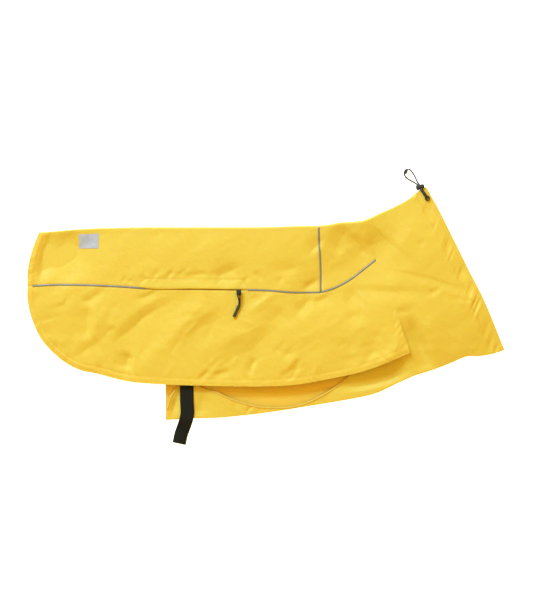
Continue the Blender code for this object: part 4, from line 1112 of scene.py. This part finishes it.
def drawcord_line():
    """Out of the eyelet, through the lock, round the loop through the end bead and back into the eyelet."""
    across = np.array([STEM_HEADING[1], -STEM_HEADING[0], 0.0]) * STRAND_SPREAD
    right, left = np.array(STEM) + across, np.array(STEM) - across
    route = np.concatenate([right, LOOP_RIGHT, LOOP_LEFT[::-1], left[::-1]])
    return path(route, np.linspace(0, 1, int(reaches(route)[-1] / (CORD_DIAMETER * 0.6))))


def make_drawcord():
    """The elastic drawcord as one braided tube, with the lock and the end bead on it."""
    line = drawcord_line()
    cord = braided("drawcord", line, CORD_DIAMETER / 2)
    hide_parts("drawcord_stem_a", "drawcord_stem_b", "drawcord_loop_a", "drawcord_loop_b")


def make_saddle():
    """Back panel and yoke: each one piece of cloth, folded on the spine."""
    step = settings().step
    seam, u = edge([LONG_SEAM], step)
    rows = (fractions(BACK_SPAN, step), fractions(BACK_SPAN, 3))
    saddle = folded_panel("saddle", TAIL_UPPER, WITHERS_SEAM, path(SPINE, u), seam, u, rows, hemmed_top)
    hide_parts("back_panel")

    seam, u = edge([SHOULDER_SEAM], step)
    rows = (fractions(YOKE_SPAN, step), fractions(YOKE_SPAN, 3))
    yoke = folded_panel("yoke_cloth", WITHERS_SEAM, NECK_SEAM, path(YOKE_TOP, u), seam, u, rows, near_top)
    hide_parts("yoke")


def make_sides():
    """Near and far side panels, whose lower part is a free flap with a turned hem."""
    step = settings().step
    top, u = edge([LONG_SEAM, SHOULDER_SEAM], step)
    right, v = edge([FRONT_SEAM, FLAP_FRONT], step)
    plan = patch(path(TAIL_LOWER, v), right, top, path(HEM, u), u, v)
    near = shell("side_near_cloth", lifted(plan, hemmed_top(plan[..., 0], plan[..., 1])), finish("yellow_nylon"))
    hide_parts("side_near")

    top, u = edge([LONG_SEAM, SHOULDER_SEAM], FAR_STEP)
    right, v = edge([FRONT_SEAM, FAR_FLAP_FRONT], FAR_STEP)
    hem = path(FAR_HEM, u)
    hem = hem + outward(hem, 1) * FAR_INSET
    left = path(TAIL_LOWER, v)
    left = left + outward(left, 1) * FAR_INSET
    plan = patch(left, right, top, hem, u, v)
    low = far_rise(plan[..., 0], plan[..., 1], SIDE_RISE)
    far = shell("side_far_cloth", lifted(plan, low), finish("yellow_nylon"), up=-1)
    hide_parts("side_far")


def tube_grid(left, right, nape, throat, u, v, w):
    """Grid round the flat neck tube: near half, throat fold, far half and nape fold."""
    up = outward(nape, 1)
    down = outward(throat, -1)
    up_radius = fold_radius(nape, up, drape)
    down_radius = fold_radius(throat, down, drape)
    up_reach = FOLD_SHARPNESS * up_radius
    down_reach = FOLD_SHARPNESS * down_radius
    crest = nape - up * up_reach[:, None]
    keel = throat - down * down_reach[:, None]

    def half(rows):
        first = spaced(left, rows, up_reach[0], down_reach[0])
        last = spaced(right, rows, up_reach[-1], down_reach[-1])
        return patch(first, last, crest, keel, u, rows)

    near = half(v)
    height = ease_to_fold(near, gathered(near[..., 0], near[..., 1]), up_radius)
    height = ease_to_fold(near[:, ::-1], height[:, ::-1], down_radius)[:, ::-1]
    far = half(w)[:, ::-1]
    ends = np.minimum(np.linalg.norm(far - far[:, :1], axis=2), np.linalg.norm(far - far[:, -1:], axis=2))
    rise = far_rise(far[..., 0], far[..., 1], NECK_RISE) * (1 - bell(ends, FOLD_EASE))
    grid = [
        lifted(near, height)[:, 1:-1], fold_rows(throat, down, down_radius), lifted(far, rise)[:, 1:-1],
        fold_rows(nape, up, up_radius)[:, ::-1],
    ]
    return np.concatenate(grid, axis=1)


def gathered(x, y):
    """The neck's outside with the gathers at the casing's stitches, where the cord draws the cloth together."""
    away = nearest(MOUTH_LINE, x, y)[0]
    still = 1 - bell(np.hypot(x - EYELET[0], y - EYELET[1]), 9)
    spread = bell(away - CASING_WIDTH + 4, 9.0)
    wave = sum(puckers(x, y, MOUTH_LINE, *gathers) for gathers in MOUTH_GATHERS)
    sewn = -CASING_SINK[0] * bell(away - CASING_WIDTH, CASING_SINK[1])
    rolled = -0.5 * bell(away, 3.0)
    return chest_top(x, y) + still * spread * wave + sewn + rolled


def make_neck():
    """Neck tube and the drawcord's casing at its mouth, gathered on the cord."""
    step = settings().step
    body, v = edge([NECK_SEAM, FRONT_SEAM, CHEST_SEAM], step)
    mouth = edge([MOUTH], step)[0]
    stop = mouth - outward(mouth, 1) * CASING_WIDTH
    w = fractions(NECK_SPAN, FAR_STEP)
    u = fractions(NECK_LENGTH, step)
    nape = path(NAPE, u, 0, CASING_WIDTH)
    throat = path(THROAT, u, 0, CASING_WIDTH)
    grid = tube_grid(body, stop, nape, throat, u, v, w)
    neck = shell("neck_cloth", grid, finish("yellow_nylon"), wrap=True)
    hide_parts("neck")

    u = np.concatenate([[0, 0.05, 0.1], np.linspace(0.16, 0.92, 9), [0.97, 1.0]])
    nape = path(NAPE, u, length(NAPE) - CASING_WIDTH)
    throat = path(THROAT, u, length(THROAT) - CASING_WIDTH)
    grid = tube_grid(stop, mouth, nape, throat, u, fractions(MOUTH_SPAN, 1.3), fractions(MOUTH_SPAN, 3))
    casing = shell("neck_casing_cloth", grid, finish("yellow_nylon"), wrap=True, wall=CASING_WALL)
    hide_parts("neck_casing")


def belly_top(x, y):
    """Outside of the near belly half, with the gathers of its bound edge."""
    creases = crease_field(x, y, BELLY_CREASES)
    return belly_drape(x, y) + creases + puckers(x, y, BELLY_LINE, *BELLY_GATHERS)


def make_chest():
    """Chest and belly panel: one piece over both halves, folded on the belly line, cut away at the legs."""
    step = settings().step
    right, v = edge([CHEST_SEAM_LOW], step)
    u = fractions(CHEST_LENGTH, step)
    fold = path(BELLY_FOLD, u)
    normals = outward(fold, -1)
    radius = fold_radius(fold, normals, belly_drape)
    throat = path(THROAT, [0.0, 0.01])
    meeting = fold_radius(throat, outward(throat, -1), drape)[0] - radius[-1]
    radius = radius + meeting * bell((1 - u) * CHEST_LENGTH, SEAM_EASE)
    reach = FOLD_SHARPNESS * radius
    keel = fold - normals * reach[:, None]
    end = [BELLY_EDGE[0], BELLY_FOLD[0]]
    sides = [path(end, v, 0, reach[0]), spaced(right, v, 0, reach[-1])]
    near = patch(*sides, path(BELLY_EDGE, u), keel, u, v)
    height = belly_top(near[..., 0], near[..., 1])
    meeting = chest_top(near[-1, :, 0], near[-1, :, 1]) - height[-1]
    depth = np.linalg.norm(near - near[-1:], axis=2)
    height = height + meeting[None] * bell(depth, SEAM_EASE)
    height = ease_to_fold(near[:, ::-1], height[:, ::-1], radius)[:, ::-1]
    w = fractions(FAR_BELLY_SPAN, 2.6)
    end = [FAR_BELLY_EDGE[0], BELLY_FOLD[0]]
    sides = [path(end, w, 0, reach[0]), spaced(right, w, 0, reach[-1])]
    far = patch(*sides, path(FAR_BELLY_EDGE, u), keel, u, w)[:, ::-1]
    low = far_belly(far[..., 0], far[..., 1])
    low[:, 0] = 0
    grid = [lifted(near, height)[:, :-1], fold_rows(fold, normals, radius), lifted(far, low)[:, 1:]]
    chest = shell("chest_belly_cloth", np.concatenate(grid, axis=1), finish("yellow_nylon"))
    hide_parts("chest_belly")


def swept(name, line, profile, top, material, per_point=False):
    """A strip along a plan line: a closed profile of (across, up) rows, carried along over the cloth.

    Its base is the cloth's height on the line, or under each point of the profile where per_point is set.
    """
    profile = np.array(profile, float)
    plan = line[:, None] + outward(line, 1)[:, None] * profile[None, :, :1]
    base = top(plan[..., 0], plan[..., 1]) if per_point else top(line[:, 0], line[:, 1])[:, None]
    around = np.arange(len(profile))[None] / len(profile) * 2 * np.ptp(profile[:, 0])
    uv = mapped(reaches(line)[:, None], around, plan.shape[:2]) * MM
    return lofted(name, in_frame(lifted(plan, base + profile[None, :, 1]))[None], material, uv)


def oval(width, height, lift):
    """A closed oval profile whose lowest point is lift over the cloth."""
    turn = circle(12)
    return np.stack([width / 2 * np.cos(turn), lift + height / 2 * (1 + np.sin(turn))], axis=1)


def make_pipings():
    """Reflective piping in the long seam, the withers seam and the shoulder seam."""
    trim = bpy.context.scene.raincoat_trim
    tail = [p for p in LONG_SEAM if p[0] <= -177.5]
    front = [p for p in LONG_SEAM if p[0] >= -27.5]
    runs = {
        "piping_tail": path(tail, fractions(length(tail), 2), 8.0),
        "piping_front": path(front, fractions(length(front), 2)),
        "piping_vertical": path(WITHERS_SEAM, fractions(99, 2), 3.0),
        "piping_curve": path(SHOULDER_SEAM, fractions(95, 2), 0.6),
    }
    profile = oval(trim.piping_width, trim.piping_height, 0.15)
    for name, line in runs.items():
        piece = swept(name + "_film", line, profile, near_top, finish("reflective_piping"))
        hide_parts(name)


def make_binding():
    """The tape that binds the leg opening."""
    line = path(BELLY_EDGE, fractions(length(BELLY_EDGE), 2), 6.0, 12.0)
    line = line - outward(line, 1) * 1.0
    profile = [
        (-1.15, 0.0), (-1.15, 0.35), (-0.8, 0.62), (0.0, 0.7), (0.9, 0.6), (1.25, 0.2), (1.25, -0.6), (0.9, -0.9),
    ]
    piece = swept("leg_binding_tape", line, profile, belly_top, finish("beige_binding"))
    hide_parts("leg_binding")


def strap_base(x, y):
    """What the strap lies on: the belly panel, its fold and then the surface."""
    drop = np.array(STRAP_DROP)[::-1]
    panel = np.maximum(belly_drape(x, y) + crease_field(x, y, BELLY_CREASES), belly_drape(x, y)) + 0.5
    return np.where(y > drop[-1, 0], panel, np.interp(y, drop[:, 0], drop[:, 1]) + 0.02)


def make_strap():
    """Black belly webbing with a doubled end, sewn across."""
    line = path(STRAP_LINE, fractions(length(STRAP_LINE), 1.5))
    half = STRAP_WIDTH / 2
    profile = [
        (-half, 0.25), (-half, 1.0), (-half + 0.7, 1.4), (-half + 2, 1.3), (-4, 1.3), (0, 1.32), (4, 1.3),
        (half - 2, 1.3), (half - 0.7, 1.4), (half, 1.0), (half, 0.25), (half - 0.8, 0.0), (0, 0.0),
        (-half + 0.8, 0.0),
    ]
    strap = swept("belly_webbing", line, profile, strap_base, finish("black_webbing"), per_point=True)
    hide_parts("belly_strap")
    end = path(STRAP_LINE, fractions(STRAP_TURNED, 1.5), length(STRAP_LINE) - STRAP_TURNED)
    upper = [
        (-half + 0.2, 1.45), (-half + 0.2, 2.3), (-half + 1, 2.7), (half - 1, 2.7), (half - 0.2, 2.3),
        (half - 0.2, 1.45),
    ]
    tab = swept("webbing_end", end, upper, strap_base, finish("black_webbing"), per_point=True)


def make_patch():
    """A plain strip of silver reflective film near the tail."""
    (left, high), (right, low) = PATCH_CORNERS
    x, y = np.meshgrid(np.linspace(left, right, 20), np.linspace(high, low, 18), indexing="ij")
    y = y - 0.04 * (right - x) * ramp((y - low) / (high - low))
    grid = np.stack([x, y, near_top(x, y) + 0.35], axis=-1)
    film = shell("reflective_strip", grid, finish("reflective_silver"), wall=0.3)
    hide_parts("reflective_patch")


def make_opening():
    """Harness opening: a folded welt whose lip stands a little open over the tape of a concealed zip."""
    u = fractions(155, 1.5)
    v = np.linspace(0, 1, 9)
    top = path(WELT_TOP, u)
    lip = path(WELT_LIP, u)
    plan = patch(path([WELT_TOP[0], WELT_LIP[0]], v), path([WELT_TOP[-1], WELT_LIP[-1]], v), top, lip, u, v)
    ends = ramp(u / 0.06) * ramp((1 - u) / 0.04)
    rise = 0.35 + 1.2 * ramp(v)[None] * (0.45 + 0.55 * ends[:, None])
    rise = rise + 0.22 * lattice_noise(plan[..., 0], plan[..., 1], 9, 9) * ramp(v)[None]
    outer = lifted(plan, near_top(plan[..., 0], plan[..., 1]) + rise)
    down = -outward(lip, 1)
    turn = np.linspace(0, np.pi, 7)[1:, None]
    radius = 0.55
    curl_plan = lip[:, None] + down[:, None] * radius * np.sin(turn)[None]
    curl = lifted(curl_plan, outer[:, -1:, 2] - radius * (1 - np.cos(turn))[None, :, 0])
    tuck = curl[:, -1:] - lifted(down[:, None] * np.array([1.5, 3.0])[None, :, None], 0.0)
    welt = shell("opening_welt_cloth", np.concatenate([outer, curl, tuck], axis=1), finish("yellow_nylon"), wall=0.3)
    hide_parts("opening_welt")
    line = path(TAPE_LINE, fractions(length(TAPE_LINE), 2))
    profile = [(-0.9, 0.1), (-0.9, 0.35), (-0.5, 0.5), (0.5, 0.5), (0.9, 0.35), (0.9, 0.1)]
    tape = swept("opening_zip_tape", line, profile, near_top, finish("zip_tape"))
    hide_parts("opening_zip")


def make_pull():
    """Zip pull: a loop of cord through the slider's bail, both ends held in a moulded grip."""
    low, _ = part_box("zip_pull")
    hinge = np.array(frame["joints"][0]["pos_m"])
    lean = np.radians(GRIP_LEAN)
    along = np.array([-np.sin(lean), -np.cos(lean), 0.0])
    across = np.array([-along[1], along[0], 0.0])
    up = np.array([0, 0, 1.0])
    start = in_frame([*GRIP_TOP, 0.0])
    start[2] = low.z + GRIP_THICK / 2

    rows = np.linspace(0, 1, 40)
    waist = 1 - 0.13 * bell(rows - 0.48, 0.16)
    grooves = 1 - 0.10 * sum(bell(rows - spot, 0.018) for spot in (0.2, 0.3, 0.66, 0.76))
    ends = np.sqrt(1 - np.clip(1 - rows / 0.09, 0, 1) ** 2 * 0.62)
    ends = ends * np.sqrt(1 - np.clip(1 - (1 - rows) / 0.08, 0, 1) ** 2 * 0.75)
    girth = (waist * grooves * ends)[:, None, None]
    turn = circle(GRIP_SIDES)
    wide, tall = (np.sign(part) * np.abs(part) ** 0.7 / 2 for part in (np.cos(turn), np.sin(turn)))
    ring = GRIP_WIDTH * wide[:, None] * across + GRIP_THICK * tall[:, None] * up
    rings = start + along * GRIP_LENGTH * rows[:, None, None] + girth * ring
    grip = lofted("pull_grip", rings[None], finish("grey_plastic"), body=PULL)
    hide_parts("zip_pull")

    legs = []
    for side in (1, -1):
        legs.append([
            start + along * 0.003 + across * side * 0.0008,
            start + across * side * 0.0009 - along * 0.0015 + up * 0.0002,
            np.array([hinge[0] + 0.0007 + side * 0.0009, hinge[1] - 0.0085, (start[2] + hinge[2]) / 2 + 0.0008]),
            hinge + [side * 0.0017, -0.0036, 0],
            hinge + [side * 0.0017, -0.0011, 0],
        ])
    line = path([*legs[0], hinge, *legs[1][::-1]], np.linspace(0, 1, 60))
    loop = braided("pull_cord", line, PULL_CORD_RADIUS, PULL)


def make_fittings():
    """Moulded fittings that keep their solid form: slider, eyelet, cord lock and end bead."""
    for name in ("zip_slider", "eyelet", "cord_lock", "cord_end"):
        node = frame["nodes"][name]
        node.data.materials.clear()
        node.data.materials.append(finish("black_plastic"))


def stitched(name, runs, material, radius=0.2):
    """Rows of short raised stitches: each is a six-sided bar along the line whose ends dive into the cloth."""
    trim = bpy.context.scene.raincoat_trim
    pitch = trim.stitch_length + trim.stitch_gap
    turn = circle(6)[:, None]
    share = np.array([0.0, 0.18, 0.82, 1.0])[None, :, None]
    girth = radius * np.array([0.6, 1.0, 1.0, 0.6])[None, :, None, None]
    bars = []
    for line, top, lift in runs:
        reach = reaches(line)
        starts = np.arange(0.5, reach[-1] - pitch, pitch)
        ends = []
        for wanted in (starts, starts + trim.stitch_length):
            x, y = (np.interp(wanted, reach, column) for column in line.T)
            ends.append(np.column_stack([x, y, top(x, y) + lift]))
        middle = ends[0][:, None] * (1 - share) + ends[1][:, None] * share
        middle[..., 2] += np.array([-0.12, 0.14, 0.14, -0.12])
        heading = ends[1] - ends[0]
        heading /= np.linalg.norm(heading, axis=1)[:, None]
        side = np.cross(heading, [0, 0, 1.0])
        up = np.cross(side, heading)
        ring = np.cos(turn) * side[:, None, None] + np.sin(turn) * up[:, None, None]
        bars.append(middle[:, :, None] + girth * ring)
    return lofted(name, in_frame(np.concatenate(bars)), material)


def beside(points, offset, start, end):
    """A line beside another, at a distance to its left."""
    line = path(points, fractions(length(points) - start - end, 3.0), start, end)
    return line + outward(line, 1) * offset


def make_stitching():
    """Topstitching of the hems, the casing, the welt, the piped seams and the bound edge."""
    hem = path(HEM_LINE[1:-1:2], fractions(900, 3))
    hem = hem + outward(hem, 1) * (HEM_WIDTH + 0.4)
    casing = edge([MOUTH], 4)[0]
    casing = (casing - outward(casing, 1) * (CASING_WIDTH - 0.6))[1:-1]
    runs = [
        (hem, hemmed_top, 0.0),
        (casing, gathered, 0.05),
        (beside(LONG_SEAM, 3.0, 6.0, 255.0), near_top, 0.0),
        (beside(LONG_SEAM, 3.0, 330.0, 2.0), near_top, 0.0),
        (beside(SHOULDER_SEAM, 3.0, 2.0, 1.0), near_top, 0.0),
        (beside(WITHERS_SEAM, -3.0, 4.0, 2.0), near_top, 0.0),
        (beside(WELT_TOP, -1.2, 1.0, 1.0), near_top, 0.5),
        (beside(BELLY_EDGE, -3.4, 6.0, 14.0), belly_top, 0.0),
    ]
    sewing = stitched("topstitching", runs, finish("yellow_thread"))
    across = [[(-133, y), (-112, y + 3)] for y in (-171.5, -186)]
    strap_runs = [(path(row, fractions(18, 2), 2.0, 2.0), strap_base, 2.75) for row in across]
    cross = stitched("webbing_stitches", strap_runs, finish("black_webbing"), radius=0.3)


# ---------------------------------------------------------------------------------------------
# Operators, panel and registration.


class RAINCOAT_OT_stage(bpy.types.Operator):
    """Floor, light and camera"""

    bl_idname = "raincoat.stage"
    bl_label = "Stage"

    def execute(self, context):
        make_stage()
        return {"FINISHED"}


class RAINCOAT_OT_drawcord(bpy.types.Operator):
    """Elastic drawcord through its lock and bead"""

    bl_idname = "raincoat.drawcord"
    bl_label = "Drawcord"

    def execute(self, context):
        make_drawcord()
        return {"FINISHED"}


class RAINCOAT_OT_saddle(bpy.types.Operator):
    """Back panel and yoke, folded on the spine"""

    bl_idname = "raincoat.saddle"
    bl_label = "Saddle and yoke"

    def execute(self, context):
        make_saddle()
        return {"FINISHED"}


class RAINCOAT_OT_sides(bpy.types.Operator):
    """Near and far side panels with their flaps"""

    bl_idname = "raincoat.sides"
    bl_label = "Side panels"

    def execute(self, context):
        make_sides()
        return {"FINISHED"}


class RAINCOAT_OT_neck(bpy.types.Operator):
    """Neck tube and its gathered casing"""

    bl_idname = "raincoat.neck"
    bl_label = "Neck"

    def execute(self, context):
        make_neck()
        return {"FINISHED"}


class RAINCOAT_OT_chest(bpy.types.Operator):
    """Chest and belly panel"""

    bl_idname = "raincoat.chest"
    bl_label = "Chest and belly"

    def execute(self, context):
        make_chest()
        return {"FINISHED"}


class RAINCOAT_OT_pipings(bpy.types.Operator):
    """Reflective pipings"""

    bl_idname = "raincoat.pipings"
    bl_label = "Pipings"

    def execute(self, context):
        make_pipings()
        return {"FINISHED"}


class RAINCOAT_OT_binding(bpy.types.Operator):
    """Tape on the leg opening"""

    bl_idname = "raincoat.binding"
    bl_label = "Leg binding"

    def execute(self, context):
        make_binding()
        return {"FINISHED"}


class RAINCOAT_OT_strap(bpy.types.Operator):
    """Black webbing with its doubled end"""

    bl_idname = "raincoat.strap"
    bl_label = "Belly strap"

    def execute(self, context):
        make_strap()
        return {"FINISHED"}


class RAINCOAT_OT_patch(bpy.types.Operator):
    """Plain silver strip near the tail"""

    bl_idname = "raincoat.patch"
    bl_label = "Reflective strip"

    def execute(self, context):
        make_patch()
        return {"FINISHED"}


class RAINCOAT_OT_opening(bpy.types.Operator):
    """Welt and concealed zip"""

    bl_idname = "raincoat.opening"
    bl_label = "Harness opening"

    def execute(self, context):
        make_opening()
        return {"FINISHED"}


class RAINCOAT_OT_pull(bpy.types.Operator):
    """Cord loop and moulded grip"""

    bl_idname = "raincoat.pull"
    bl_label = "Zip pull"

    def execute(self, context):
        make_pull()
        return {"FINISHED"}


class RAINCOAT_OT_fittings(bpy.types.Operator):
    """Slider, eyelet, cord lock and end bead"""

    bl_idname = "raincoat.fittings"
    bl_label = "Fittings"

    def execute(self, context):
        make_fittings()
        return {"FINISHED"}


class RAINCOAT_OT_stitching(bpy.types.Operator):
    """Topstitching of all seams and hems"""

    bl_idname = "raincoat.stitching"
    bl_label = "Stitching"

    def execute(self, context):
        make_stitching()
        return {"FINISHED"}


OPERATORS = [
    RAINCOAT_OT_stage, RAINCOAT_OT_drawcord, RAINCOAT_OT_saddle, RAINCOAT_OT_sides, RAINCOAT_OT_neck,
    RAINCOAT_OT_chest, RAINCOAT_OT_pipings, RAINCOAT_OT_binding, RAINCOAT_OT_strap, RAINCOAT_OT_patch,
    RAINCOAT_OT_opening, RAINCOAT_OT_pull, RAINCOAT_OT_fittings, RAINCOAT_OT_stitching,
]


class RAINCOAT_PT_panel(bpy.types.Panel):
    """Lists the coat's settings and pieces."""

    bl_idname = "RAINCOAT_PT_panel"
    bl_label = "Raincoat"
    bl_space_type = "VIEW_3D"
    bl_region_type = "UI"
    bl_category = "Raincoat"

    def draw(self, context):
        for group in (context.scene.raincoat_cloth, context.scene.raincoat_trim, context.scene.raincoat_stage):
            box = self.layout.box()
            for name in group.bl_rna.properties.keys():
                if name not in ("rna_type", "name"):
                    box.prop(group, name)
        for item in OPERATORS:
            self.layout.operator(item.bl_idname)


CLASSES = [ClothSettings, TrimSettings, StageSettings, *OPERATORS, RAINCOAT_PT_panel]


def register():
    """Registers the classes and gives every scene the coat's settings."""
    for item in CLASSES:
        bpy.utils.register_class(item)
    bpy.types.Scene.raincoat_cloth = PointerProperty(type=ClothSettings)
    bpy.types.Scene.raincoat_trim = PointerProperty(type=TrimSettings)
    bpy.types.Scene.raincoat_stage = PointerProperty(type=StageSettings)


def unregister():
    """Takes the settings and the classes away again."""
    del bpy.types.Scene.raincoat_stage
    del bpy.types.Scene.raincoat_trim
    del bpy.types.Scene.raincoat_cloth
    for item in reversed(CLASSES):
        bpy.utils.unregister_class(item)


def main():
    """Makes every piece in order."""
    register()
    for item in OPERATORS:
        getattr(bpy.ops.raincoat, item.bl_idname.split(".")[1])()


if __name__ == "__main__":
    main()
